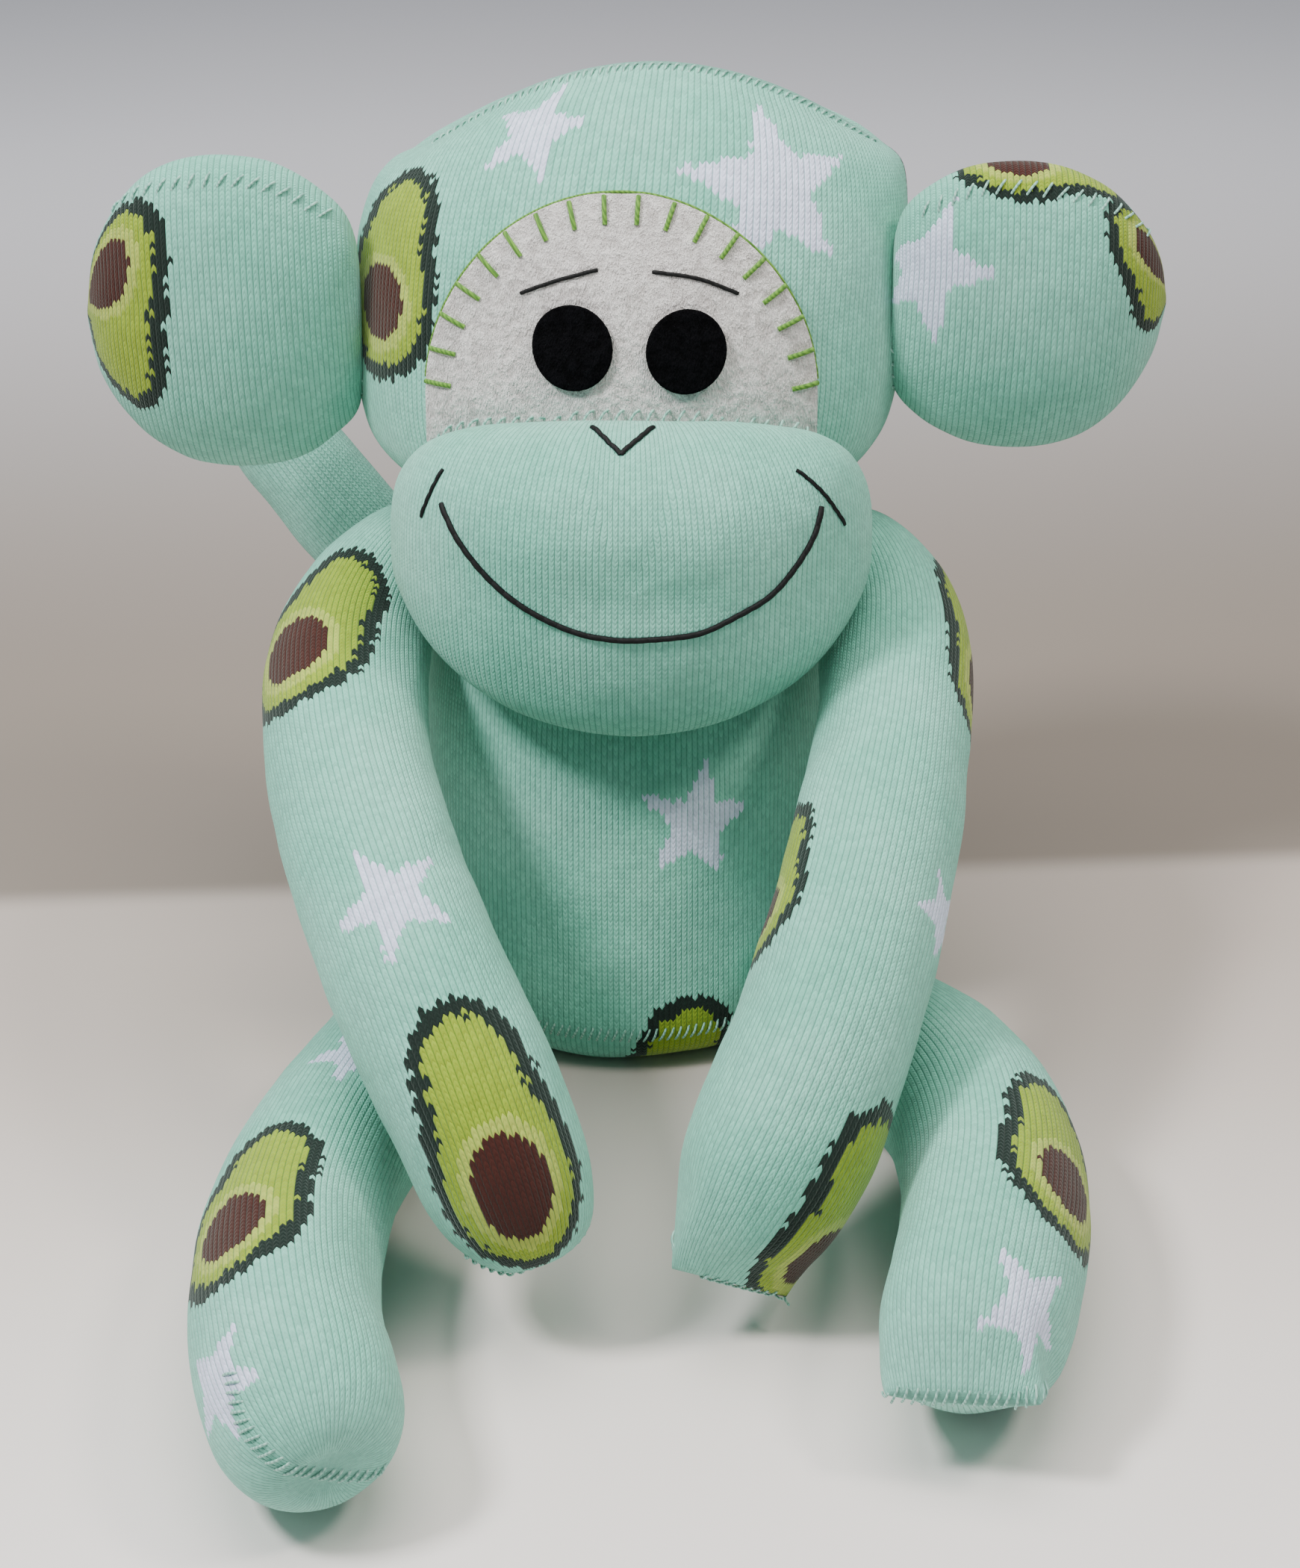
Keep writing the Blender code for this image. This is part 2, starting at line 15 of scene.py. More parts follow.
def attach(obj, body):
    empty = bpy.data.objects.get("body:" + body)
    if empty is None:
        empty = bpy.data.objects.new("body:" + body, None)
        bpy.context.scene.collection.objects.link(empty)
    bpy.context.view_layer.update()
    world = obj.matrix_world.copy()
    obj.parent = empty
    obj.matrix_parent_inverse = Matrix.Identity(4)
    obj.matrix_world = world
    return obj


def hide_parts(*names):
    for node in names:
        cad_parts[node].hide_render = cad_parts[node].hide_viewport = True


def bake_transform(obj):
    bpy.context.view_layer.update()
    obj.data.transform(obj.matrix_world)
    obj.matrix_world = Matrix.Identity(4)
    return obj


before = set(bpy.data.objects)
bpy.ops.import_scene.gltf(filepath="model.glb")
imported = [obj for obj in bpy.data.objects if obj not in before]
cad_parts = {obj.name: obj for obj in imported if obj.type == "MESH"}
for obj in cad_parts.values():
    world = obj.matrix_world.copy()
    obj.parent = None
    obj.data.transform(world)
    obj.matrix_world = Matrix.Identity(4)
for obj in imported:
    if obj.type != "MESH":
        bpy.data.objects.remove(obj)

MM = 0.001
LOG = logging.getLogger("sock_monkey")
Point = tuple[float, float, float]


# ---------------------------------------------------------------- colours and nodes


def linear(code: str) -> tuple[float, float, float, float]:
    """Turn an sRGB hex colour into a linear one.

    Args:
        code: The colour, such as "A3D1C3".

    Returns:
        Red, green, blue and alpha, from 0 to 1.
    """
    parts = [int(code[start:start + 2], 16) / 255 for start in (0, 2, 4)]
    return tuple(p / 12.92 if p <= 0.04045 else ((p + 0.055) / 1.055) ** 2.4 for p in parts) + (1.0,)


def put(tree: bpy.types.NodeTree, kind: str, inputs: dict | None = None, **settings: object) -> bpy.types.Node:
    """Add a node with its settings and links.

    Args:
        tree: The node tree.
        kind: The node's type name.
        inputs: Socket name or number to a value, or to the socket or node that feeds it; a node feeds
            its first output.
        settings: The node's own properties.

    Returns:
        The new node.
    """
    node = tree.nodes.new(kind)
    for name, value in settings.items():
        setattr(node, name, value)
    for key, value in (inputs or {}).items():
        if isinstance(value, bpy.types.Node):
            value = value.outputs[0]
        if isinstance(value, bpy.types.NodeSocket):
            tree.links.new(value, node.inputs[key])
        else:
            node.inputs[key].default_value = value
    return node


def start_material(name: str) -> tuple[bpy.types.Material, bpy.types.NodeTree]:
    """Make an empty node material, and give it and its tree.

    Args:
        name: The material's name.

    Returns:
        The material, and the tree to put its nodes in.
    """
    material = bpy.data.materials.new(name)
    material.use_nodes = True
    material.node_tree.nodes.clear()
    return material, material.node_tree


def start_group(name: str, sockets: list[tuple[str, str]], result: str) -> tuple[bpy.types.NodeTree, bpy.types.Node]:
    """Make a shader node group with named inputs and one colour output.

    Args:
        name: The group's name.
        sockets: Name and socket type of each input.
        result: Name of the colour output.

    Returns:
        The group and its input node.
    """
    group = bpy.data.node_groups.new(name, "ShaderNodeTree")
    for label, kind in sockets:
        group.interface.new_socket(label, in_out="INPUT", socket_type=kind)
    group.interface.new_socket(result, in_out="OUTPUT", socket_type="NodeSocketColor")
    return group, put(group, "NodeGroupInput")


# ---------------------------------------------------------------- the knitted-in pictures


class Picture(Enum):
    """The pictures knitted into the sock."""

    AVOCADO = "avocado"
    STAR = "star"


@dataclass(frozen=True)
class Sprig:
    """One knitted-in picture: what it is, the point of the toy it lies at, its turn and its length in mm."""

    picture: Picture
    at: Point
    size: float
    turn: float = 0.0


MOTIF_SOCKETS = [
    ("Base", "NodeSocketColor"), ("Cell", "NodeSocketVector"), ("Place", "NodeSocketVector"),
    ("Girth", "NodeSocketFloat"), ("Turn", "NodeSocketFloat"), ("Size", "NodeSocketFloat"),
    ("Rag", "NodeSocketFloat"),
]


def motif_position(group: bpy.types.NodeTree, source: bpy.types.Node) -> bpy.types.Node:
    """Give a picture's own coordinates, 1 long, from the stitch that is being coloured.

    Args:
        group: The picture's node group.
        source: The group's input node.

    Returns:
        A Separate XYZ node with the place across and along the picture.
    """
    away = put(group, "ShaderNodeVectorMath", {0: source.outputs["Cell"], 1: source.outputs["Place"]},
               operation="SUBTRACT")
    parts = put(group, "ShaderNodeSeparateXYZ", {0: away})
    half = put(group, "ShaderNodeMath", {0: source.outputs["Girth"], 1: 0.5}, operation="MULTIPLY")
    minus = put(group, "ShaderNodeMath", {0: source.outputs["Girth"], 1: -0.5}, operation="MULTIPLY")
    around = put(group, "ShaderNodeMath", {0: parts, 1: half, 2: minus}, operation="WRAP")
    flat = put(group, "ShaderNodeCombineXYZ", {0: around, 1: parts.outputs[1]})
    turned = put(group, "ShaderNodeVectorRotate", {"Vector": flat, "Angle": source.outputs["Turn"]},
                 rotation_type="Z_AXIS")
    grow = put(group, "ShaderNodeMath", {0: 1.0, 1: source.outputs["Size"]}, operation="DIVIDE")
    scaled = put(group, "ShaderNodeVectorMath", {0: turned, "Scale": grow}, operation="SCALE")
    return put(group, "ShaderNodeSeparateXYZ", {0: scaled})


def avocado_group(skin: str, flesh: str, rim: str, stone: str) -> bpy.types.NodeTree:
    """Make the halved avocado: dark skin, a pale rim, lime flesh and a plain oval stone.

    Args:
        skin: Colour of the skin's yarn.
        flesh: Colour of the flesh's yarn.
        rim: Colour of the flesh beside the stone.
        stone: Colour of the stone's yarn.

    Returns:
        The node group.
    """
    group, source = start_group("halved_avocado", MOTIF_SOCKETS, "Colour")
    place = motif_position(group, source)
    spot = put(group, "ShaderNodeCombineXYZ", {0: place, 1: place.outputs[1]})
    belly, neck, melt = (-0.15, 0.335), (0.21, 0.225), 0.3
    rounds = []
    for middle, radius in (belly, neck):
        length = put(group, "ShaderNodeVectorMath", {0: spot, 1: (0, middle, 0)}, operation="DISTANCE")
        rounds.append(put(group, "ShaderNodeMath", {0: length.outputs["Value"], 1: radius}, operation="SUBTRACT"))
    pear = put(group, "ShaderNodeMath", {0: rounds[0], 1: rounds[1], 2: melt}, operation="SMOOTH_MIN")
    edge = put(group, "ShaderNodeMath", {0: pear, 1: source.outputs["Rag"]}, operation="ADD")
    pip = put(group, "ShaderNodeVectorMath", {0: spot, 1: (0, -0.16, 0)}, operation="DISTANCE")
    bands = ((edge.outputs[0], 0.0, skin), (edge.outputs[0], -0.062, flesh),
             (pip.outputs["Value"], 0.21, rim), (pip.outputs["Value"], 0.16, stone))
    colour = source.outputs["Base"]
    for measure, limit, code in bands:
        inside = put(group, "ShaderNodeMath", {0: measure, 1: limit}, operation="LESS_THAN")
        colour = put(group, "ShaderNodeMix", {0: inside, 6: colour, 7: linear(code)}, data_type="RGBA").outputs[2]
    put(group, "NodeGroupOutput", {0: colour})
    return group


def star_group(code: str) -> bpy.types.NodeTree:
    """Make the five pointed star.

    Args:
        code: Colour of the star's yarn.

    Returns:
        The node group.
    """
    group, source = start_group("knitted_star", MOTIF_SOCKETS, "Colour")
    place = motif_position(group, source)
    angle = put(group, "ShaderNodeMath", {0: place, 1: place.outputs[1]}, operation="ARCTAN2")
    sector = math.pi / 5
    folded = put(group, "ShaderNodeMath", {0: angle, 1: sector}, operation="PINGPONG")
    spot = put(group, "ShaderNodeCombineXYZ", {0: place, 1: place.outputs[1]})
    reach = put(group, "ShaderNodeVectorMath", {0: spot}, operation="LENGTH")
    across = put(group, "ShaderNodeMath", {0: folded}, operation="COSINE")
    aside = put(group, "ShaderNodeMath", {0: folded}, operation="SINE")
    tip, notch = 0.5, 0.21
    to = (notch * math.cos(sector) - tip, notch * math.sin(sector))
    x = put(group, "ShaderNodeMath", {0: reach.outputs["Value"], 1: across, 2: -tip}, operation="MULTIPLY_ADD")
    y = put(group, "ShaderNodeMath", {0: reach.outputs["Value"], 1: aside}, operation="MULTIPLY")
    left = put(group, "ShaderNodeMath", {0: x, 1: to[1]}, operation="MULTIPLY")
    side = put(group, "ShaderNodeMath", {0: y, 1: -to[0], 2: left}, operation="MULTIPLY_ADD")
    edge = put(group, "ShaderNodeMath", {0: source.outputs["Rag"], 1: 0.3, 2: side}, operation="MULTIPLY_ADD")
    inside = put(group, "ShaderNodeMath", {0: edge, 1: 0.0}, operation="LESS_THAN")
    colour = put(group, "ShaderNodeMix", {0: inside, 6: source.outputs["Base"], 7: linear(code)},
                 data_type="RGBA").outputs[2]
    put(group, "NodeGroupOutput", {0: colour})
    return group


# ---------------------------------------------------------------- finishes


@dataclass(frozen=True)
class KnitFinish:
    """Fine cotton sock jersey, machine knitted: ribs of small V stitches with a dry, slightly fuzzy face."""

    yarn: str = "7AC4AF"
    # painted shade: the colour that darkens the valleys between the ribs and the rows
    groove_shade: str = "9CC9BC"
    faded: str = "91D1BF"
    skin: str = "10201A"
    flesh: str = "8FA62A"
    rim: str = "A9B84E"
    stone: str = "3E1710"
    star: str = "DCE3FB"
    wale: float = 1.2        # mm from rib to rib on the stuffed toy
    course: float = 1.0      # mm from row to row
    fading: float = 29.4     # mm across the faded patches of a washed sock
    fluff: float = 0.667     # mm; the loose fibres are finer, drawn coarser so that they show

    def motifs(self) -> dict[Picture, bpy.types.NodeTree]:
        """Make the node groups of the knitted-in pictures, once for all covers."""
        return {
            Picture.AVOCADO: avocado_group(self.skin, self.flesh, self.rim, self.stone),
            Picture.STAR: star_group(self.star),
        }

    def make(self, name: str, girth: float, places: list[tuple[Sprig, tuple[float, float]]],
             motifs: dict[Picture, bpy.types.NodeTree]) -> bpy.types.Material:
        """Make the jersey of one cover, with its pictures.

        Args:
            name: The cover's name.
            girth: The fabric's width round the cover in mm, a whole number of ribs.
            places: Each picture and its place on the fabric in mm.
            motifs: The pictures' node groups.

        Returns:
            The material.
        """
        material, tree = start_material(f"cotton_jersey_{name}")
        fabric = put(tree, "ShaderNodeUVMap", uv_map="fabric")
        cells = put(tree, "ShaderNodeVectorMath",
                    {0: fabric, 1: (1000 / self.wale, 1000 / self.course, 0)}, operation="MULTIPLY")
        parts = put(tree, "ShaderNodeSeparateXYZ", {0: cells})
        rib = put(tree, "ShaderNodeMath", {0: parts}, operation="FRACT")
        centred = put(tree, "ShaderNodeMath", {0: rib, 1: 0.5}, operation="SUBTRACT")
        aside = put(tree, "ShaderNodeMath", {0: centred}, operation="ABSOLUTE")
        # each stitch is a V, so its rows climb away from the middle of the rib
        climbed = put(tree, "ShaderNodeMath", {0: aside, 1: -1.5, 2: parts.outputs[1]}, operation="MULTIPLY_ADD")
        row = put(tree, "ShaderNodeMath", {0: climbed}, operation="FLOOR")
        rib_number = put(tree, "ShaderNodeMath", {0: parts}, operation="FLOOR")
        cell = put(tree, "ShaderNodeCombineXYZ", {0: rib_number, 1: row})
        middle = put(tree, "ShaderNodeVectorMath", {0: cell, 1: (0.5, 1.0, 0)}, operation="ADD")
        cell_mm = put(tree, "ShaderNodeVectorMath", {0: middle, 1: (self.wale, self.course, 0)}, operation="MULTIPLY")
        chance = put(tree, "ShaderNodeTexWhiteNoise", {"Vector": cell}, noise_dimensions="2D")

        # the yarn: round across the rib, nipped between one row and the next
        deep = put(tree, "ShaderNodeMath", {0: aside, 1: 2.0}, operation="MULTIPLY")
        powered = put(tree, "ShaderNodeMath", {0: deep, 1: 4.0}, operation="POWER")
        barrel = put(tree, "ShaderNodeMath", {0: 1.0, 1: powered}, operation="SUBTRACT")
        leg = put(tree, "ShaderNodeMath", {0: aside, 1: 0.24}, operation="COMPARE")
        leg.inputs[2].default_value = 0.15
        between = put(tree, "ShaderNodeMath", {0: climbed}, operation="FRACT")
        swing = put(tree, "ShaderNodeMath", {0: between, 1: math.pi}, operation="MULTIPLY")
        plump = put(tree, "ShaderNodeMath", {0: swing}, operation="SINE")
        nipped = put(tree, "ShaderNodeMath", {0: plump, 1: 0.42, 2: 0.58}, operation="MULTIPLY_ADD")
        round_yarn = put(tree, "ShaderNodeMath", {0: barrel, 1: nipped}, operation="MULTIPLY")
        height = put(tree, "ShaderNodeMath", {0: leg, 1: 0.12, 2: round_yarn}, operation="MULTIPLY_ADD")

        place = put(tree, "ShaderNodeTexCoord")
        patchy = put(tree, "ShaderNodeTexNoise",
                     {"Vector": place.outputs["Object"], "Scale": 1000 / self.fading, "Detail": 3.0})
        patchy_ramp = put(tree, "ShaderNodeMapRange", {0: patchy, 1: 0.35, 2: 0.72})
        base = put(tree, "ShaderNodeMix", {0: patchy_ramp, 6: linear(self.yarn), 7: linear(self.faded)},
                   data_type="RGBA")
        colour = base.outputs[2]
        rag = put(tree, "ShaderNodeMath", {0: chance.outputs["Value"], 1: 0.03, 2: -0.015}, operation="MULTIPLY_ADD")
        for sprig, (u, v) in places:
            picture = put(tree, "ShaderNodeGroup", node_tree=motifs[sprig.picture])
            for key, value in (("Base", colour), ("Cell", cell_mm.outputs[0]), ("Rag", rag.outputs[0])):
                tree.links.new(value, picture.inputs[key])
            picture.inputs["Place"].default_value = (u, v, 0)
            picture.inputs["Girth"].default_value = girth
            picture.inputs["Turn"].default_value = math.radians(sprig.turn)
            picture.inputs["Size"].default_value = sprig.size
            colour = picture.outputs[0]
        # dye takes a little differently in each stitch
        shade = put(tree, "ShaderNodeMath", {0: chance.outputs["Value"], 1: 0.2, 2: 0.9}, operation="MULTIPLY_ADD")
        dyed = put(tree, "ShaderNodeHueSaturation", {"Value": shade, "Color": colour})
        # painted shade: the valleys between the ribs and between the rows are multiplied by the groove colour, and
        # the rib tops keep the plain colour
        dark = put(tree, "ShaderNodeMix", {0: 1.0, 6: dyed, 7: linear(self.groove_shade)},
                   data_type="RGBA", blend_type="MULTIPLY")
        lift = put(tree, "ShaderNodeMapRange", {0: height, 1: 0.0, 2: 0.6})
        shown = put(tree, "ShaderNodeMix", {0: lift, 6: dark.outputs[2], 7: dyed}, data_type="RGBA")

        fluff = put(tree, "ShaderNodeTexNoise",
                    {"Vector": place.outputs["Object"], "Scale": 1000 / self.fluff, "Detail": 4.0})
        yarn_bump = put(tree, "ShaderNodeBump", {"Strength": 0.6, "Distance": 0.0004, "Height": height})
        fluff_bump = put(tree, "ShaderNodeBump", {"Strength": 0.35, "Distance": 0.00016,
                                                  "Height": fluff, "Normal": yarn_bump})
        # cotton scatters nearly all its light and has a faint pale fuzz at grazing angles
        shader = put(tree, "ShaderNodeBsdfPrincipled", {
            "Base Color": shown.outputs[2], "Roughness": 0.92, "IOR": 1.46, "Specular IOR Level": 0.25,
            "Sheen Weight": 0.28, "Sheen Roughness": 0.5, "Sheen Tint": linear("DDF0E8"),
            "Normal": fluff_bump})
        put(tree, "ShaderNodeOutputMaterial", {0: shader})
        return material


@dataclass(frozen=True)
class FeltFinish:
    """Pressed wool-blend craft felt: matted fibres with no weave, matt and slightly mottled."""

    name: str
    colour: str
    shade: str
    fibre: float = 0.32      # mm; real fibres are 0.03 mm, drawn coarser so that they show
    clump: float = 2.083     # mm across the knots of fibre
    fuzz: float = 0.3
    shine: float = 0.2

    def make(self) -> bpy.types.Material:
        """Make the felt.

        Returns:
            The felt's material.
        """
        material, tree = start_material(f"pressed_felt_{self.name}")
        place = put(tree, "ShaderNodeTexCoord")
        heights = []
        for turn in (0.5, 1.7, 2.8):
            mapped = put(tree, "ShaderNodeMapping", {"Vector": place.outputs["Object"], "Rotation": (0.3, turn, 0.2),
                                                     "Scale": (1, 1, 0.16)})
            heights.append(put(tree, "ShaderNodeTexNoise", {"Vector": mapped,
                                                            "Scale": 1000 / self.fibre, "Detail": 2.0}))
        first = put(tree, "ShaderNodeMath", {0: heights[0], 1: heights[1]}, operation="MAXIMUM")
        matted = put(tree, "ShaderNodeMath", {0: first, 1: heights[2]}, operation="MAXIMUM")
        clump = put(tree, "ShaderNodeTexNoise", {"Vector": place.outputs["Object"], "Scale": 1000 / self.clump,
                                                   "Detail": 6.0})
        both = put(tree, "ShaderNodeMath", {0: matted, 1: clump}, operation="ADD")
        tone = put(tree, "ShaderNodeMapRange", {0: both, 1: 0.9, 2: 1.22})
        colour = put(tree, "ShaderNodeMix", {0: tone, 6: linear(self.shade), 7: linear(self.colour)},
                     data_type="RGBA")
        bump = put(tree, "ShaderNodeBump", {"Strength": 1.0, "Distance": 0.0011, "Height": both})
        shader = put(tree, "ShaderNodeBsdfPrincipled", {
            "Base Color": colour.outputs[2], "Roughness": 0.95, "IOR": 1.5, "Specular IOR Level": self.shine,
            "Sheen Weight": self.fuzz, "Sheen Roughness": 0.45, "Normal": bump})
        put(tree, "ShaderNodeOutputMaterial", {0: shader})
        return material


@dataclass(frozen=True)
class ThreadFinish:
    """Stranded cotton sewing thread: a soft lustre, with plies that show as fine slanting ridges."""

    name: str
    colour: str
    shade: str
    ply: float = 0.35        # mm from ply to ply
    lustre: float = 0.2

    def make(self) -> bpy.types.Material:
        """Make the thread.

        Returns:
            The thread's material.
        """
        material, tree = start_material(f"cotton_thread_{self.name}")
        place = put(tree, "ShaderNodeTexCoord")
        mapped = put(tree, "ShaderNodeMapping", {"Vector": place.outputs["Object"], "Rotation": (0.6, 0.5, 0.7)})
        plies = put(tree, "ShaderNodeTexWave", {"Vector": mapped, "Scale": 160 / self.ply,
                                                "Distortion": 2.0, "Detail": 1.0})
        # painted shade: the grooves between the plies take the darker shade colour
        colour = put(tree, "ShaderNodeMix", {0: plies.outputs[1], 6: linear(self.shade), 7: linear(self.colour)},
                     data_type="RGBA")
        bump = put(tree, "ShaderNodeBump", {"Strength": 0.5, "Distance": 0.0001, "Height": plies.outputs[1]})
        shader = put(tree, "ShaderNodeBsdfPrincipled", {
            "Base Color": colour.outputs[2], "Roughness": 0.68, "IOR": 1.5, "Sheen Weight": self.lustre,
            "Specular IOR Level": 0.3, "Normal": bump})
        put(tree, "ShaderNodeOutputMaterial", {0: shader})
        return material


@dataclass(frozen=True)
class FillFinish:
    """Crimped polyester toy fill: bright white fibres, loose and slightly glossy."""

    colour: str = "F4F3EF"
    shade: str = "C9C8C4"
    crimp: float = 2.38      # mm from crimp to crimp

    def make(self) -> bpy.types.Material:
        """Make the fill.

        Returns:
            The fill's material.
        """
        material, tree = start_material("polyester_fill_crimped")
        place = put(tree, "ShaderNodeTexCoord")
        crimp = put(tree, "ShaderNodeTexNoise", {"Vector": place.outputs["Object"], "Scale": 1000 / self.crimp,
                                                 "Detail": 6.0, "Distortion": 1.6})
        colour = put(tree, "ShaderNodeMix", {0: crimp, 6: linear(self.shade), 7: linear(self.colour)},
                     data_type="RGBA")
        bump = put(tree, "ShaderNodeBump", {"Strength": 0.8, "Distance": 0.0008, "Height": crimp})
        shader = put(tree, "ShaderNodeBsdfPrincipled", {
            "Base Color": colour.outputs[2], "Roughness": 0.7, "Sheen Weight": 0.4, "Normal": bump})
        put(tree, "ShaderNodeOutputMaterial", {0: shader})
        return material


@dataclass(frozen=True)
class PaperFinish:
    """Matt studio paper: off white in front, turning to a greyer lilac behind the toy, where it stands in for the
    wall.
    The lilac is partly the wall's own colour; painted shade darkens the floor towards the wall and the wall's foot,
    and painted light lightens the wall further back.
    """

    # the floor's darker back and the wall's darker foot are painted shade; the wall's lighter far part is painted
    # light
    near: str = "FBF4F1"
    middle: str = "BDB1A9"
    far: str = "F1F0F6"
    painted_wall_shade: str = "8A8077"
    turn: float = 0.040      # m behind the origin where the tone changes
    soft: float = 0.006
    tooth: float = 3.33      # mm; real paper's tooth is finer, drawn coarser so that it shows

    def make(self) -> bpy.types.Material:
        """Make the paper.

        Returns:
            The paper's material.
        """
        material, tree = start_material("matt_paper_two_tone_and_painted_shade")
        place = put(tree, "ShaderNodeTexCoord")
        parts = put(tree, "ShaderNodeSeparateXYZ", {0: place.outputs["Object"]})
        back = put(tree, "ShaderNodeMath", {0: parts, 1: -0.07, 2: parts.outputs[1]}, operation="MULTIPLY_ADD")
        # painted shade: the floor darkens towards the foot of the wall
        front = put(tree, "ShaderNodeMapRange", {0: back, 1: -0.24, 2: 0.01}, interpolation_type="SMOOTHSTEP")
        near = put(tree, "ShaderNodeMix", {0: front, 6: linear(self.near), 7: linear(self.middle)}, data_type="RGBA")
        # painted shade at the foot of the wall, turning to painted light further back
        rise = put(tree, "ShaderNodeMapRange", {0: back, 1: 0.13, 2: 0.8}, interpolation_type="SMOOTHSTEP")
        far = put(tree, "ShaderNodeMix", {0: rise, 6: linear(self.painted_wall_shade), 7: linear(self.far)}, data_type="RGBA")
        edge = put(tree, "ShaderNodeMapRange", {0: back, 1: self.turn - self.soft,
                                                2: self.turn + self.soft}, interpolation_type="SMOOTHSTEP")
        colour = put(tree, "ShaderNodeMix", {0: edge, 6: near.outputs[2], 7: far.outputs[2]}, data_type="RGBA")
        stipple = put(tree, "ShaderNodeTexNoise", {"Vector": place.outputs["Object"], "Scale": 1000 / self.tooth})
        bump = put(tree, "ShaderNodeBump", {"Strength": 0.05, "Distance": 0.0002, "Height": stipple})
        shader = put(tree, "ShaderNodeBsdfPrincipled", {
            "Base Color": colour.outputs[2], "Roughness": 0.85, "Normal": bump})
        put(tree, "ShaderNodeOutputMaterial", {0: shader})
        return material


# ---------------------------------------------------------------- meshes


def new_piece(name: str, mesh: bpy.types.Mesh, material: bpy.types.Material | None = None) -> bpy.types.Object:
    """Put a mesh into the scene as a smooth shaded object.

    Args:
        name: The piece's name.
        mesh: Its mesh, in metres and in place.
        material: Its finish, if it has one yet.

    Returns:
        The object.
    """
    piece = bpy.data.objects.new(name, mesh)
    bpy.context.scene.collection.objects.link(piece)
    if material:
        mesh.materials.clear()
        mesh.materials.append(material)
    mesh.polygons.foreach_set("use_smooth", [True] * len(mesh.polygons))
    return piece


def baked(piece: bpy.types.Object, material: bpy.types.Material | None = None) -> bpy.types.Object:
    """Swap an object for a plain one with its modifiers' result as its mesh.

    Args:
        piece: The object with live modifiers.
        material: The finish of the result.

    Returns:
        The plain object, under the same name.
    """
    graph = bpy.context.evaluated_depsgraph_get()
    graph.update()
    mesh = bpy.data.meshes.new_from_object(piece.evaluated_get(graph))
    name = piece.name
    old = piece.data
    bpy.data.objects.remove(piece)
    bpy.data.meshes.remove(old)
    mesh.name = name
    return new_piece(name, mesh, material)


def surface(*pieces: bpy.types.Object) -> BVHTree:
    """Give the search tree of the faces of one or more pieces.

    Args:
        pieces: Objects whose meshes are final.

    Returns:
        The search tree, in metres.
    """
    corners, faces = [], []
    for piece in pieces:
        first = len(corners)
        corners += [v.co.copy() for v in piece.data.vertices]
        faces += [tuple(first + i for i in p.vertices) for p in piece.data.polygons]
    return BVHTree.FromPolygons(corners, faces)


def spaced_rows(stations: list[tuple[float, ...]], spacing: float) -> np.ndarray:
    """Pass a smooth line through stations of any number of values, and cut it into even steps.

    Args:
        stations: Rows of values; the step between rows is measured on all of them.
        spacing: Wanted step in mm.

    Returns:
        The rows of the smooth line.
    """
    table = np.array(stations, float)
    gaps = np.maximum(np.linalg.norm(np.diff(table[:, :4], axis=0), axis=1), 0.3)
    knots = np.concatenate([[0], np.cumsum(gaps)])
    slopes = np.zeros_like(table)
    secants = np.diff(table, axis=0) / gaps[:, None]
    slopes[0], slopes[-1] = secants[0], secants[-1]
    weights = gaps[1:, None] + gaps[:-1, None]
    slopes[1:-1] = (secants[:-1] * gaps[1:, None] + secants[1:] * gaps[:-1, None]) / weights
    count = max(int(round(knots[-1] / spacing)), 8)
    wanted = np.linspace(0, knots[-1], count + 1)
    index = np.clip(np.searchsorted(knots, wanted, side="right") - 1, 0, len(gaps) - 1)
    width = gaps[index][:, None]
    t = (wanted - knots[index])[:, None] / width
    return ((2 * t**3 - 3 * t**2 + 1) * table[index] + (t**3 - 2 * t**2 + t) * width * slopes[index]
            + (3 * t**2 - 2 * t**3) * table[index + 1] + (t**3 - t**2) * width * slopes[index + 1])


def slack(value: np.ndarray, spare: float) -> np.ndarray:
    """Make a half size smaller by what the fill swells the cover, but not at its closed ends.

    Args:
        value: Half sizes in mm.
        spare: The swelling in mm.

    Returns:
        The smaller half sizes.
    """
    full, closed = 8, 0.3    # mm over which it sets in, and the share of that left at an end
    return value - spare * np.clip(value / full - closed, 0, 1)


def eased(stations: list[tuple[float, ...]]) -> list[tuple[float, ...]]:
    """Round the corners of a row of stations, as packed fill rounds a sewn tube.

    Args:
        stations: Rows of values.

    Returns:
        The rows, with each inner one drawn towards its neighbours, and the middles between them.
    """
    table = np.array(stations, float)
    drawn = table.copy()
    drawn[1:-1] = 0.75 * table[1:-1] + 0.125 * (table[:-2] + table[2:])
    middles = (table[:-1] + table[1:]) / 2
    mixed = [tuple(drawn[0])]
    for middle, row in zip(middles[1:-1], drawn[2:]):
        mixed += [tuple(middle), tuple(row)]
    return [mixed[0], tuple(drawn[1])] + mixed[1:-1] + [tuple(drawn[-1])]


class Grain(Enum):
    """Which way the ribs of the jersey run on a cover."""

    ALONG = "along"
    AROUND = "around"
    UPRIGHT = "upright"


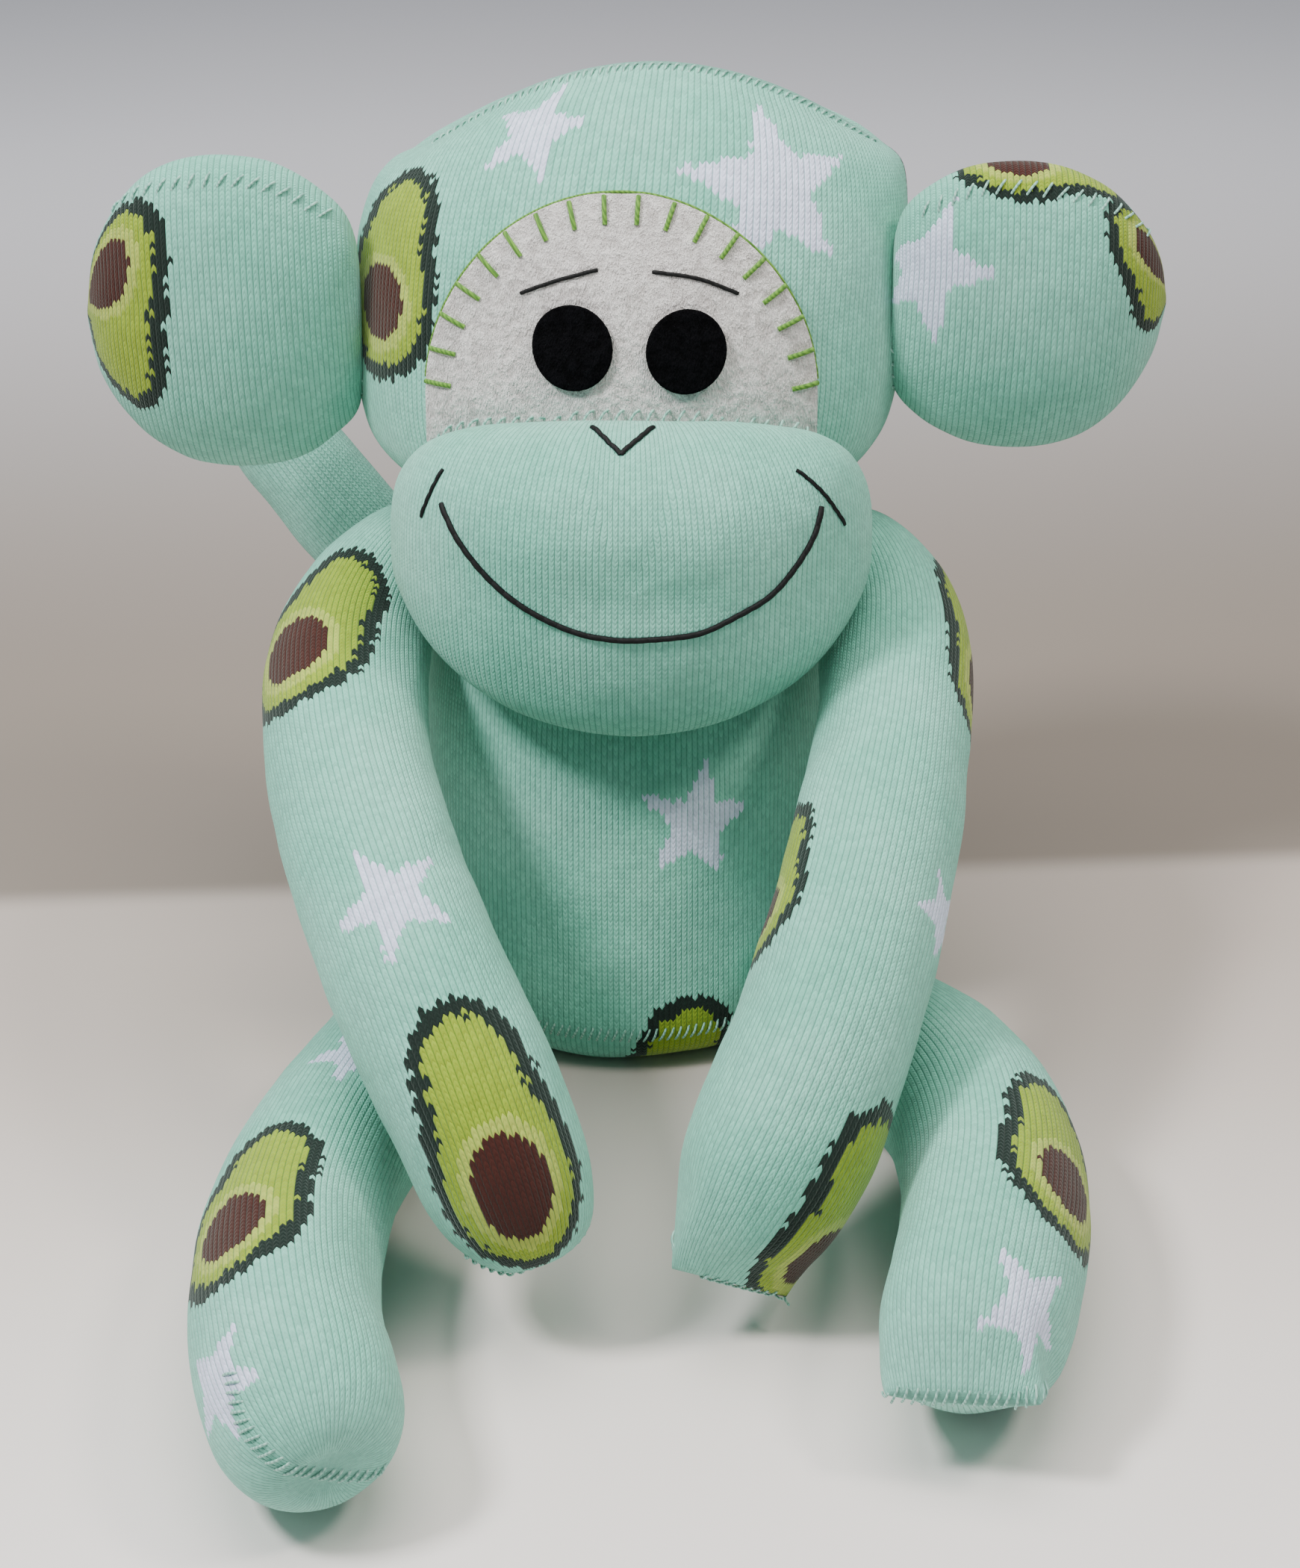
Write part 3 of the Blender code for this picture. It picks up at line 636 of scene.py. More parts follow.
@dataclass
class Cover:
    """One stuffed jersey cover: a closed skin of rings, with the fabric's own coordinates in mm."""

    name: str
    rings: np.ndarray
    grain: Grain = Grain.ALONG
    zipped: bool = False
    held_rows: tuple[int, ...] = ()
    give: float = 2.4
    free_front: bool = False
    calm: int = 4
    sprigs: tuple[Sprig, ...] = ()
    wale: float = 1.2
    piece: bpy.types.Object | None = None
    fabric: np.ndarray = field(default_factory=lambda: np.zeros((0, 2)))
    girth: float = 0.0

    def points(self) -> np.ndarray:
        """Give every point of the skin in mm: the first pole, the rings, and the last pole if there is one.

        Returns:
            One row of x, y and z for each point.
        """
        first = self.rings[0].mean(axis=0)[None]
        body = self.rings.reshape(-1, 3)
        if self.zipped:
            return np.concatenate([first, body])
        return np.concatenate([first, body, self.rings[-1].mean(axis=0)[None]])

    def faces(self) -> list[tuple[int, ...]]:
        """Give the skin's faces as numbers of its points.

        Returns:
            The point numbers of each face, anticlockwise from outside.
        """
        rows, sides = self.rings.shape[:2]
        found = [(0, 1 + (i + 1) % sides, 1 + i) for i in range(sides)]
        for row in range(rows - 1):
            low, high = 1 + row * sides, 1 + (row + 1) * sides
            found += [(low + i, low + (i + 1) % sides, high + (i + 1) % sides, high + i) for i in range(sides)]
        last = 1 + (rows - 1) * sides
        if not self.zipped:
            pole = 1 + rows * sides
            return found + [(last + i, last + (i + 1) % sides, pole) for i in range(sides)]
        half = sides // 2
        found.append((last, last + 1, last + sides - 1))
        found += [(last + i, last + i + 1, last + sides - i - 1, last + sides - i) for i in range(1, half - 1)]
        return found + [(last + half - 1, last + half, last + half + 1)]

    def lay_fabric(self) -> None:
        """Work out where each point lies on the flat fabric, in mm."""
        sides = self.rings.shape[1]
        steps = np.linalg.norm(np.diff(self.rings, axis=0), axis=2).mean(axis=1)
        along = np.concatenate([[0], np.cumsum(steps)])
        around = np.linalg.norm(self.rings - np.roll(self.rings, 1, axis=1), axis=2).sum(axis=1)
        self.girth = max(round(float(np.percentile(around, 85)) / self.wale), 12) * self.wale
        if self.grain is Grain.UPRIGHT:
            centre = self.rings[-1].mean(axis=0)
            spokes = np.linalg.norm(np.diff(self.rings, axis=0), axis=2)
            reach = np.concatenate([np.cumsum(spokes[::-1], axis=0)[::-1], np.zeros((1, sides))])
            reach += np.linalg.norm(self.rings[-1] - centre, axis=1)[None]
            angles = np.arctan2(self.rings[:, :, 2] - centre[2], self.rings[:, :, 0] - centre[0])
            grid = np.stack([reach * np.cos(angles), reach * np.sin(angles)], axis=2)
            ends = [grid[0].mean(axis=0), np.zeros(2)]
        else:
            columns = np.arange(sides) / sides * self.girth
            grid = np.stack(np.broadcast_arrays(columns[None, :], along[:, None]), axis=2)
            ends = [np.array([0, -1.0]), np.array([0, along[-1] + 1.0])]
        flat = [ends[0][None], grid.reshape(-1, 2)] + ([] if self.zipped else [ends[1][None]])
        self.fabric = np.concatenate(flat)

    def build(self) -> None:
        """Make the skin's mesh with its fabric coordinates."""
        self.lay_fabric()
        mesh = bpy.data.meshes.new(self.name)
        mesh.from_pydata((self.points() * MM).tolist(), [], self.faces())
        work = bmesh.new()
        work.from_mesh(mesh)
        bmesh.ops.recalc_face_normals(work, faces=work.faces)
        work.to_mesh(mesh)
        work.free()
        layer = mesh.uv_layers.new(name="fabric")
        rows, sides = self.rings.shape[:2]
        values = np.zeros((len(mesh.loops), 2), np.float32)
        for face in mesh.polygons:
            spots = {i: self.fabric[mesh.loops[i].vertex_index].copy() for i in face.loop_indices}
            if self.grain is not Grain.UPRIGHT:
                poles = [i for i in spots if mesh.loops[i].vertex_index in (0, 1 + rows * sides)]
                reals = [i for i in spots if i not in poles]
                if max(spots[i][0] for i in reals) - min(spots[i][0] for i in reals) > self.girth / 2:
                    for i in reals:
                        if spots[i][0] < self.girth / 2 and len(face.vertices) + len(poles) > 3:
                            spots[i][0] += self.girth
                for i in poles:
                    spots[i][0] = sum(spots[j][0] for j in reals) / len(reals)
            for i, spot in spots.items():
                values[i] = spot[::-1] if self.grain is Grain.AROUND else spot
        layer.data.foreach_set("uv", (values * MM).ravel())
        self.piece = new_piece(self.name, mesh)

    def place_of(self, point: Point) -> tuple[float, float]:
        """Give the place on the fabric, in mm, of the point of the cover nearest to a point in mm.

        Args:
            point: A place on or near the cover, in mm.

        Returns:
            The place across and along the fabric, in mm.
        """
        away = np.linalg.norm(self.points() - np.array(point), axis=1)
        u, v = self.fabric[int(away.argmin())]
        return (float(v), float(u)) if self.grain is Grain.AROUND else (float(u), float(v))

    def hold(self) -> bpy.types.VertexGroup:
        """Mark the points that the sewing holds: the poles, and the held rows.

        Returns:
            The group of held points.
        """
        rows, sides = self.rings.shape[:2]
        group = self.piece.vertex_groups.new(name="sewn")
        held = [0] if self.zipped or self.free_front else [0, 1 + rows * sides]
        for row in self.held_rows:
            row %= rows
            held += range(1 + row * sides, 1 + (row + 1) * sides)
        group.add(held, 1.0, "REPLACE")
        return group

    def calmed(self, move: np.ndarray) -> np.ndarray:
        """Even out how the skin's points moved, a few times over, and leave the held ones where they are.

        Args:
            move: The move of each point.

        Returns:
            The evened moves.
        """
        mesh = self.piece.data
        edges = np.array([edge.vertices for edge in mesh.edges])
        count = np.bincount(edges.ravel(), minlength=len(move))[:, None]
        held = [v.index for v in mesh.vertices if len(v.groups)]
        for _ in range(self.calm):
            total = np.zeros_like(move)
            np.add.at(total, edges[:, 0], move[edges[:, 1]])
            np.add.at(total, edges[:, 1], move[edges[:, 0]])
            move = (move + total / count) / 2
            move[held] = 0
        return move

    def finish(self, material: bpy.types.Material, relief: float = 0.45) -> None:
        """Give the skin the small unevenness of hand packed fill, and round it once.

        Args:
            material: The cover's jersey.
            relief: Height of the unevenness in mm.
        """
        mesh = self.piece.data
        sides = self.rings.shape[1]
        broad, fine = 62.0, 140.0            # lumps to the metre
        for v in mesh.vertices:
            lump = noise.noise(v.co * broad) + 0.5 * noise.noise(v.co * fine + Vector((3, 1, 7)))
            edge = min(v.index / (3 * sides), (len(mesh.vertices) - v.index) / (3 * sides), 1.0)
            v.co += v.normal * (lump * relief * MM * edge)
            v.co.z = max(v.co.z, 0.00025)
        rounding = self.piece.modifiers.new("rounding", "SUBSURF")
        rounding.levels = rounding.render_levels = 1
        rounding.uv_smooth = "NONE"
        self.piece = baked(self.piece, material)
        self.piece.data.vertices.foreach_set("co", np.maximum(
            self.coordinates(), np.array([-9, -9, 0.0002])).ravel().astype(np.float32))

    def coordinates(self) -> np.ndarray:
        """Give the finished skin's points in metres.

        Returns:
            One row of x, y and z for each point.
        """
        mesh = self.piece.data
        found = np.empty(len(mesh.vertices) * 3, np.float32)
        mesh.vertices.foreach_get("co", found)
        return found.reshape(-1, 3)

    def fill(self, name: str, material: bpy.types.Material, inset: float = 1.3) -> bpy.types.Object:
        """Make the fibre fill: the same shape, smaller all round by the fabric's thickness.

        Args:
            name: The fill's name.
            material: Its finish.
            inset: The space taken by the fabric, in mm.

        Returns:
            The fill's object.
        """
        mesh = self.piece.data.copy()
        mesh.name = name
        normals = np.empty(len(mesh.vertices) * 3, np.float32)
        self.piece.data.vertices.foreach_get("normal", normals)
        mesh.vertices.foreach_set("co", (self.coordinates() - normals.reshape(-1, 3) * inset * MM).ravel())
        return new_piece(name, mesh, material)


@dataclass(frozen=True)
class Packing:
    """How hard the fill presses on the covers, and how the jersey gives."""

    pressure: float = 4
    growth: float = 0.035
    mass: float = 0.12
    stretch: float = 18
    shear: float = 8
    bending: float = 0.6
    frames: int = 20


def stuff(covers: list[Cover], packing: Packing = Packing()) -> None:
    """Blow the covers up against their sewing, as packed fill does, and keep the result.

    Args:
        covers: Every stuffed cover, built and not yet finished.
        packing: How they are filled.
    """
    starts, ends = {}, {}
    for cover in covers:
        mesh = cover.piece.data
        starts[cover.name] = np.array([v.co for v in mesh.vertices])
        group = cover.hold()
        cloth = cover.piece.modifiers.new("stuffed", "CLOTH")
        rules = cloth.settings
        rules.vertex_group_mass = group.name
        rules.quality = 6
        rules.mass = packing.mass
        rules.tension_stiffness = rules.compression_stiffness = packing.stretch
        rules.shear_stiffness = packing.shear
        rules.bending_stiffness = packing.bending
        rules.use_pressure = True
        rules.uniform_pressure_force = packing.pressure
        rules.shrink_min = -packing.growth
        rules.effector_weights.gravity = 0
        cloth.collision_settings.use_collision = False
        cloth.collision_settings.use_self_collision = False
    scene = bpy.context.scene
    for number in range(1, packing.frames + 1):
        scene.frame_set(number)
    graph = bpy.context.evaluated_depsgraph_get()
    for cover in covers:
        shown = cover.piece.evaluated_get(graph).data
        after = np.array([v.co for v in shown.vertices])
        move = cover.calmed(after - starts[cover.name])
        reach = np.linalg.norm(move, axis=1)[:, None]
        limit = cover.give * MM
        # far moves are eased down to the limit, so that the cap leaves no edge
        settled = move * (limit * np.tanh(reach / limit) / np.maximum(reach, 1e-9))
        ends[cover.name] = starts[cover.name] + settled
        LOG.info("%s swells by up to %.1f mm", cover.name, float(np.linalg.norm(settled, axis=1).max() / MM))
    for cover in covers:
        cover.piece.modifiers.clear()
        cover.piece.data.vertices.foreach_set("co", ends[cover.name].ravel().astype(np.float32))
        cover.piece.data.update()
    scene.frame_set(1)


# ---------------------------------------------------------------- stitching


@dataclass(frozen=True)
class StitchStyle:
    """One kind of hand stitch, in mm, with its slant in degrees to the seam."""

    spacing: float
    length: float
    radius: float
    arch: float = 0.35
    dip: float = 0.3
    slant: float = 0.0
    sway: float = 4.0


BACKSTITCH = StitchStyle(spacing=3.0, length=4.6, radius=0.62, arch=0.3, dip=0.3, sway=1.5)
NOSE_STITCH = StitchStyle(spacing=2.4, length=3.8, radius=0.56, arch=0.3, dip=0.3, sway=1.5)
FINE_BACKSTITCH = StitchStyle(spacing=2.2, length=3.4, radius=0.42, arch=0.25, dip=0.25, sway=1.5)
OVERLOCK = StitchStyle(spacing=1.7, length=3.4, radius=0.24, arch=0.45, dip=0.35, slant=68, sway=5)
WHIP = StitchStyle(spacing=3.1, length=3.6, radius=0.27, arch=0.5, dip=0.4, slant=58, sway=9)
LADDER = StitchStyle(spacing=2.6, length=3.0, radius=0.26, arch=0.35, dip=0.4, slant=80, sway=8)


def stitch_tree() -> bpy.types.NodeTree:
    """Build the Geometry Nodes tree that lays one stitch after another along a line on the fabric.

    Returns:
        The tree, whose inputs are the stitch's sizes in metres, its slant and sway in radians, and its finish.
    """
    tree = bpy.data.node_groups.new("hand_stitch_row", "GeometryNodeTree")
    tree.interface.new_socket("Line", in_out="INPUT", socket_type="NodeSocketGeometry")
    for label in ("Spacing", "Stitch Length", "Thread Radius", "Arch", "Dip", "Slant", "Sway"):
        tree.interface.new_socket(label, in_out="INPUT", socket_type="NodeSocketFloat")
    tree.interface.new_socket("Seed", in_out="INPUT", socket_type="NodeSocketInt")
    tree.interface.new_socket("Thread", in_out="INPUT", socket_type="NodeSocketMaterial")
    tree.interface.new_socket("Stitches", in_out="OUTPUT", socket_type="NodeSocketGeometry")
    source = put(tree, "NodeGroupInput")
    size = source.outputs
    line = put(tree, "GeometryNodeMeshToCurve", {0: size["Line"]})
    steps = put(tree, "GeometryNodeResampleCurve", {"Curve": line, "Length": size["Spacing"]}, mode="LENGTH")
    outward = put(tree, "GeometryNodeInputNamedAttribute", {"Name": "outward"}, data_type="FLOAT_VECTOR")
    tangent = put(tree, "GeometryNodeInputTangent")
    facing = put(tree, "FunctionNodeAlignRotationToVector", {"Vector": tangent}, axis="X")
    upright = put(tree, "FunctionNodeAlignRotationToVector",
                  {"Rotation": facing, "Vector": outward}, axis="Z", pivot_axis="X")
    less = put(tree, "ShaderNodeMath", {0: size["Sway"], 1: -1.0}, operation="MULTIPLY")
    chance = put(tree, "FunctionNodeRandomValue", {2: less, 3: size["Sway"], 8: size["Seed"]}, data_type="FLOAT")
    lean = put(tree, "ShaderNodeMath", {0: size["Slant"], 1: chance.outputs[1]}, operation="ADD")
    spin = put(tree, "ShaderNodeCombineXYZ", {2: lean})
    turn = put(tree, "FunctionNodeEulerToRotation", {0: spin})
    placed = put(tree, "FunctionNodeRotateRotation", {0: upright, 1: turn}, rotation_space="LOCAL")
    half = put(tree, "ShaderNodeMath", {0: size["Stitch Length"], 1: 0.5}, operation="MULTIPLY")
    back = put(tree, "ShaderNodeMath", {0: size["Stitch Length"], 1: -0.5}, operation="MULTIPLY")
    below = put(tree, "ShaderNodeMath", {0: size["Dip"], 1: -1.0}, operation="MULTIPLY")
    top = put(tree, "ShaderNodeMath", {0: size["Arch"], 1: 2.0}, operation="MULTIPLY")
    start = put(tree, "ShaderNodeCombineXYZ", {0: back, 2: below})
    crest = put(tree, "ShaderNodeCombineXYZ", {2: top})
    end = put(tree, "ShaderNodeCombineXYZ", {0: half, 2: below})
    bow = put(tree, "GeometryNodeCurveQuadraticBezier", {
        "Resolution": 6, "Start": start, "Middle": crest, "End": end})
    section = put(tree, "GeometryNodeCurvePrimitiveCircle", {"Resolution": 7, "Radius": size["Thread Radius"]})
    strand = put(tree, "GeometryNodeCurveToMesh", {"Curve": bow, "Profile Curve": section, "Fill Caps": True})
    row = put(tree, "GeometryNodeInstanceOnPoints", {"Points": steps, "Instance": strand, "Rotation": placed})
    real = put(tree, "GeometryNodeRealizeInstances", {0: row})
    dressed = put(tree, "GeometryNodeSetMaterial", {"Geometry": real, "Material": size["Thread"]})
    put(tree, "NodeGroupOutput", {0: dressed})
    return tree


@dataclass
class Needle:
    """Sews rows of stitches onto finished covers."""

    tree: bpy.types.NodeTree
    count: int = 0

    def sew(self, name: str, line: list[tuple[Vector, Vector]], style: StitchStyle,
            thread: bpy.types.Material, closed: bool = False) -> bpy.types.Object:
        """Sew one row.

        Args:
            name: The row's name.
            line: Points on the fabric in metres, each with the way out of it.
            style: The stitch.
            thread: The thread's finish.
            closed: True for a row that meets its own start.

        Returns:
            The stitches as one plain mesh.
        """
        self.count += 1
        if not closed and style.slant < 20:
            # the first and last stitches end where the line does
            spare = style.length * MM * 0.45
            line = [(spot, out) for spot, out in line
                    if min((spot - line[0][0]).length, (spot - line[-1][0]).length) > spare] or line
        guide = bpy.data.meshes.new(name)
        edges = [(i, i + 1) for i in range(len(line) - 1)] + ([(len(line) - 1, 0)] if closed else [])
        guide.from_pydata([spot for spot, out in line], edges, [])
        ways = guide.attributes.new("outward", "FLOAT_VECTOR", "POINT")
        ways.data.foreach_set("vector", [value for spot, out in line for value in out])
        piece = bpy.data.objects.new(name, guide)
        bpy.context.scene.collection.objects.link(piece)
        sewing = piece.modifiers.new("stitches", "NODES")
        sewing.node_group = self.tree
        sizes = {
            "Spacing": style.spacing * MM, "Stitch Length": style.length * MM, "Thread Radius": style.radius * MM,
            "Arch": style.arch * MM, "Dip": style.dip * MM, "Slant": math.radians(style.slant),
            "Sway": math.radians(style.sway), "Seed": self.count, "Thread": thread,
        }
        for socket in self.tree.interface.items_tree:
            if socket.in_out == "INPUT" and socket.name in sizes:
                sewing[socket.identifier] = sizes[socket.name]
        return baked(piece, thread)


def dense(points: list[Point], closed: bool = False, spacing: float = 1.2) -> list[Vector]:
    """Run a smooth line through points in mm.

    Args:
        points: The corners.
        closed: True if the line comes back to its start.
        spacing: Wanted step in mm.

    Returns:
        The line's points in metres.
    """
    corners = list(points) + ([points[0]] if closed else [])
    rows = spaced_rows([tuple(p) + (0.0,) for p in corners], spacing)
    found = [Vector(row[:3]) * MM for row in rows]
    return found[:-1] if closed else found


def onto(line: list[Vector], tree: BVHTree, toward: Point | None = None,
         lift: float = 0.1) -> list[tuple[Vector, Vector]]:
    """Lay a line on a surface.

    Args:
        line: Points near the surface, in metres.
        tree: The surface.
        toward: The way to look for it, or None for the nearest point.
        lift: Height above the surface in mm.

    Returns:
        Each point on the surface, with the way out of it.
    """
    laid = []
    for spot in line:
        if toward is None:
            place, out = tree.find_nearest(spot)[:2]
        else:
            way = Vector(toward).normalized()
            place, out = tree.ray_cast(spot - way * 0.12, way)[:2]
        if place is not None:
            laid.append((place + out * lift * MM, out))
    return laid


def joining_line(cover: Cover, host: BVHTree, lift: float = 0.2) -> list[tuple[Vector, Vector]]:
    """Find the line where a cover comes out of another one.

    Args:
        cover: The cover that is sewn on.
        host: The surface of the one it is sewn to.
        lift: Height above the fabric in mm.

    Returns:
        Points of a closed line, each with the way out of the corner between the two.
    """
    own = surface(cover.piece)
    rows, sides = cover.rings.shape[:2]
    found = []
    for column in range(sides):
        previous, cross, clear = None, None, 0
        for row in range(rows):
            near = own.find_nearest(Vector(cover.rings[row, column]) * MM)
            spot = near[0]
            base, out = host.find_nearest(spot)[:2]
            gap = (spot - base).dot(out)
            if gap > 0 and previous is not None and previous[1] <= 0:
                share = previous[1] / (previous[1] - gap)
                way = (near[1] + out).normalized()
                cross = (previous[0].lerp(spot, share) + way * lift * MM, way)
            clear = clear + 1 if gap > 0 else 0
            if cross is not None and clear > 2:
                break
            previous = (spot, gap)
        if cross is not None:
            found.append(cross)
    count = len(found)
    return [(sum((found[(i + k) % count][0] for k in (-1, 0, 1)), Vector()) / 3, found[i][1]) for i in range(count)]


# ---------------------------------------------------------------- the toy


@dataclass
class Shop:
    """The finishes and tools that every part of the toy shares."""

    knit: KnitFinish
    motifs: dict[Picture, bpy.types.NodeTree]
    fill: bpy.types.Material
    white_felt: bpy.types.Material
    black_felt: bpy.types.Material
    mint: bpy.types.Material
    black: bpy.types.Material
    green: bpy.types.Material
    needle: Needle


def open_shop() -> Shop:
    """Make the shared finishes and the stitch tree."""
    knit = KnitFinish()
    return Shop(
        knit=knit, motifs=knit.motifs(), fill=FillFinish().make(),
        white_felt=FeltFinish("white", "F3F0ED", "CDC8C5").make(),
        black_felt=FeltFinish("black", "0B0B0E", "030304", fibre=0.35, fuzz=0.0, shine=0.06).make(),
        mint=ThreadFinish("mint", "A4D3C4", "74A79A").make(),
        black=ThreadFinish("black", "0A0A0C", "020203", lustre=0.0).make(),
        green=ThreadFinish("green", "6C9F33", "437322").make(),
        needle=Needle(stitch_tree()),
    )


def dress_cover(cover: Cover, shop: Shop) -> None:
    """Finish a stuffed cover in its jersey, with its pictures in place.

    Args:
        cover: The stuffed cover.
        shop: The shared finishes.
    """
    spots = [(sprig, cover.place_of(sprig.at)) for sprig in cover.sprigs]
    cover.finish(shop.knit.make(cover.name, cover.girth, spots, shop.motifs))


def hang(piece: bpy.types.Object, body: str, slot: str, *nodes: str) -> None:
    """Let a finished piece ride on a body and stand for its CAD nodes, which are hidden.

    Args:
        piece: The piece.
        body: The CAD body that it rides on.
        slot: A material slot's name; not used.
        nodes: The CAD nodes that it stands for, if any.
    """
    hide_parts(*nodes)
    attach(piece, body)
    LOG.info("%s rides on %s", piece.name, body)


@dataclass
class Body:
    """The torso and head: one sock tube from the seat to the seam over the crown."""

    sides: int = 112
    spacing: float = 2.7
    swell_wide: float = 0.8
    swell_deep: float = 1.2
    neck_from: Point = (0, 17, 92)
    neck_to: Point = (0, 20, 116)
    neck_middle: Point = (0, 19.2, 104.5)
    neck_half_width: float = 30
    neck_half_depth: float = 28
    crown: Point = (6, 35.0, 197)
    crown_half: float = 47
    crown_sag: float = 16.5
    # x, y, height, half width, half depth, sag of the sides
    stations: tuple[tuple[float, ...], ...] = (
        (0, -1, 0.4, 3, 2.7, 0), (0, -2, 0.4, 30, 28, 0), (0, -2, 2.2, 40.5, 37.5, 0),
        (0, -1.5, 9, 45.5, 43, 0), (0, 3, 34, 45, 41.5, 0), (0, 9.5, 64, 44.6, 39, 0),
        (0, 15, 86, 42.6, 33.5, 0), (0, 18, 97, 35, 27, 0), (0, 19.2, 104.5, 26.5, 23.5, 0),
        (0, 20, 110, 34, 28, 0), (0, 21.3, 117.5, 51.5, 35.2, 0), (0.2, 23.5, 129, 56.8, 36.8, 0),
        (0.5, 26, 142, 57.4, 36.5, 0), (1.6, 31, 167, 57.6, 33, 3), (4, 35, 185, 54, 21, 9),
        (5.4, 37, 193.4, 48.5, 9, 14.5), (6, 37.8, 196.2, 47, 1.6, 16.5),
    )
    sprigs: tuple[Sprig, ...] = (
        Sprig(Picture.AVOCADO, (-49.5, 14.5, 161), 48, 10), Sprig(Picture.STAR, (-17, 21, 186), 21, 14),
        Sprig(Picture.STAR, (30.5, 11, 175.5), 34, -8), Sprig(Picture.AVOCADO, (57, 38, 166), 50, -12),
        Sprig(Picture.STAR, (15, -28.7, 54.3), 26, 10), Sprig(Picture.AVOCADO, (12.7, -40, -10), 46, 4),
        Sprig(Picture.AVOCADO, (-30, 45, 40), 50, 20), Sprig(Picture.STAR, (10, 50, 66), 24, 0),
        Sprig(Picture.AVOCADO, (20, 58, 150), 52, -14), Sprig(Picture.STAR, (-24, 60, 150), 26, 5),
    )

    def cover(self) -> Cover:
        """Build the tube's skin.

        Returns:
            The cover, built and not yet stuffed.
        """
        rows = spaced_rows(eased(list(self.stations)), self.spacing)
        turns = np.arange(self.sides) / self.sides * 2 * math.pi
        x = rows[:, 0, None] + slack(rows[:, 3, None], self.swell_wide) * np.cos(turns)
        y = rows[:, 1, None] + slack(rows[:, 4, None], self.swell_deep) * np.sin(turns)
        z = rows[:, 2, None] - rows[:, 5, None] * np.cos(turns) ** 2
        made = Cover("body_cover", np.stack([x, y, z], axis=2), zipped=True, held_rows=(0, 1, -1, -2),
                     give=2.0, sprigs=self.sprigs)
        heights = rows[:, 2]
        made.held_rows += (int(np.abs(heights - self.neck_middle[2]).argmin()),)
        made.build()
        return made

    def dress(self, made: Cover, shop: Shop) -> None:
        """Finish the tube, fill it, and sew its seams and the thread round its neck.

        Args:
            made: The tube's stuffed cover.
            shop: The shared finishes.
        """
        dress_cover(made, shop)
        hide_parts("torso_cover", "head_cover")
        fill = made.fill("body_stuffing", shop.fill)
        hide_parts("torso_stuffing", "head_stuffing")
        skin = surface(made.piece)
        x, y, z = self.neck_middle
        ring = [(x + self.neck_half_width * math.cos(t), y + self.neck_half_depth * math.sin(t), z)
                for t in np.linspace(0, 2 * math.pi, 40)[:-1]]
        neck = shop.needle.sew("neck_thread_row", onto(dense(ring, closed=True), skin), LADDER, shop.mint, True)
        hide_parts("neck_thread")
        for piece in (made.piece, fill, neck):
            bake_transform(piece)
        x, y, z = self.crown
        crown = [(x + aside, y, z - self.crown_sag * (aside / self.crown_half) ** 2) for aside in range(-46, 47, 4)]
        hang(shop.needle.sew("crown_overlock", onto(dense(crown), skin), OVERLOCK, shop.mint),
             "head", "mint_thread", "crown_seam")
        base = [(x, -46, 9.4) for x in range(-34, 35, 4)]
        hang(shop.needle.sew("base_overlock", onto(dense(base), skin, (0, 1, 0)), OVERLOCK, shop.mint),
             "torso", "mint_thread", "base_seam")


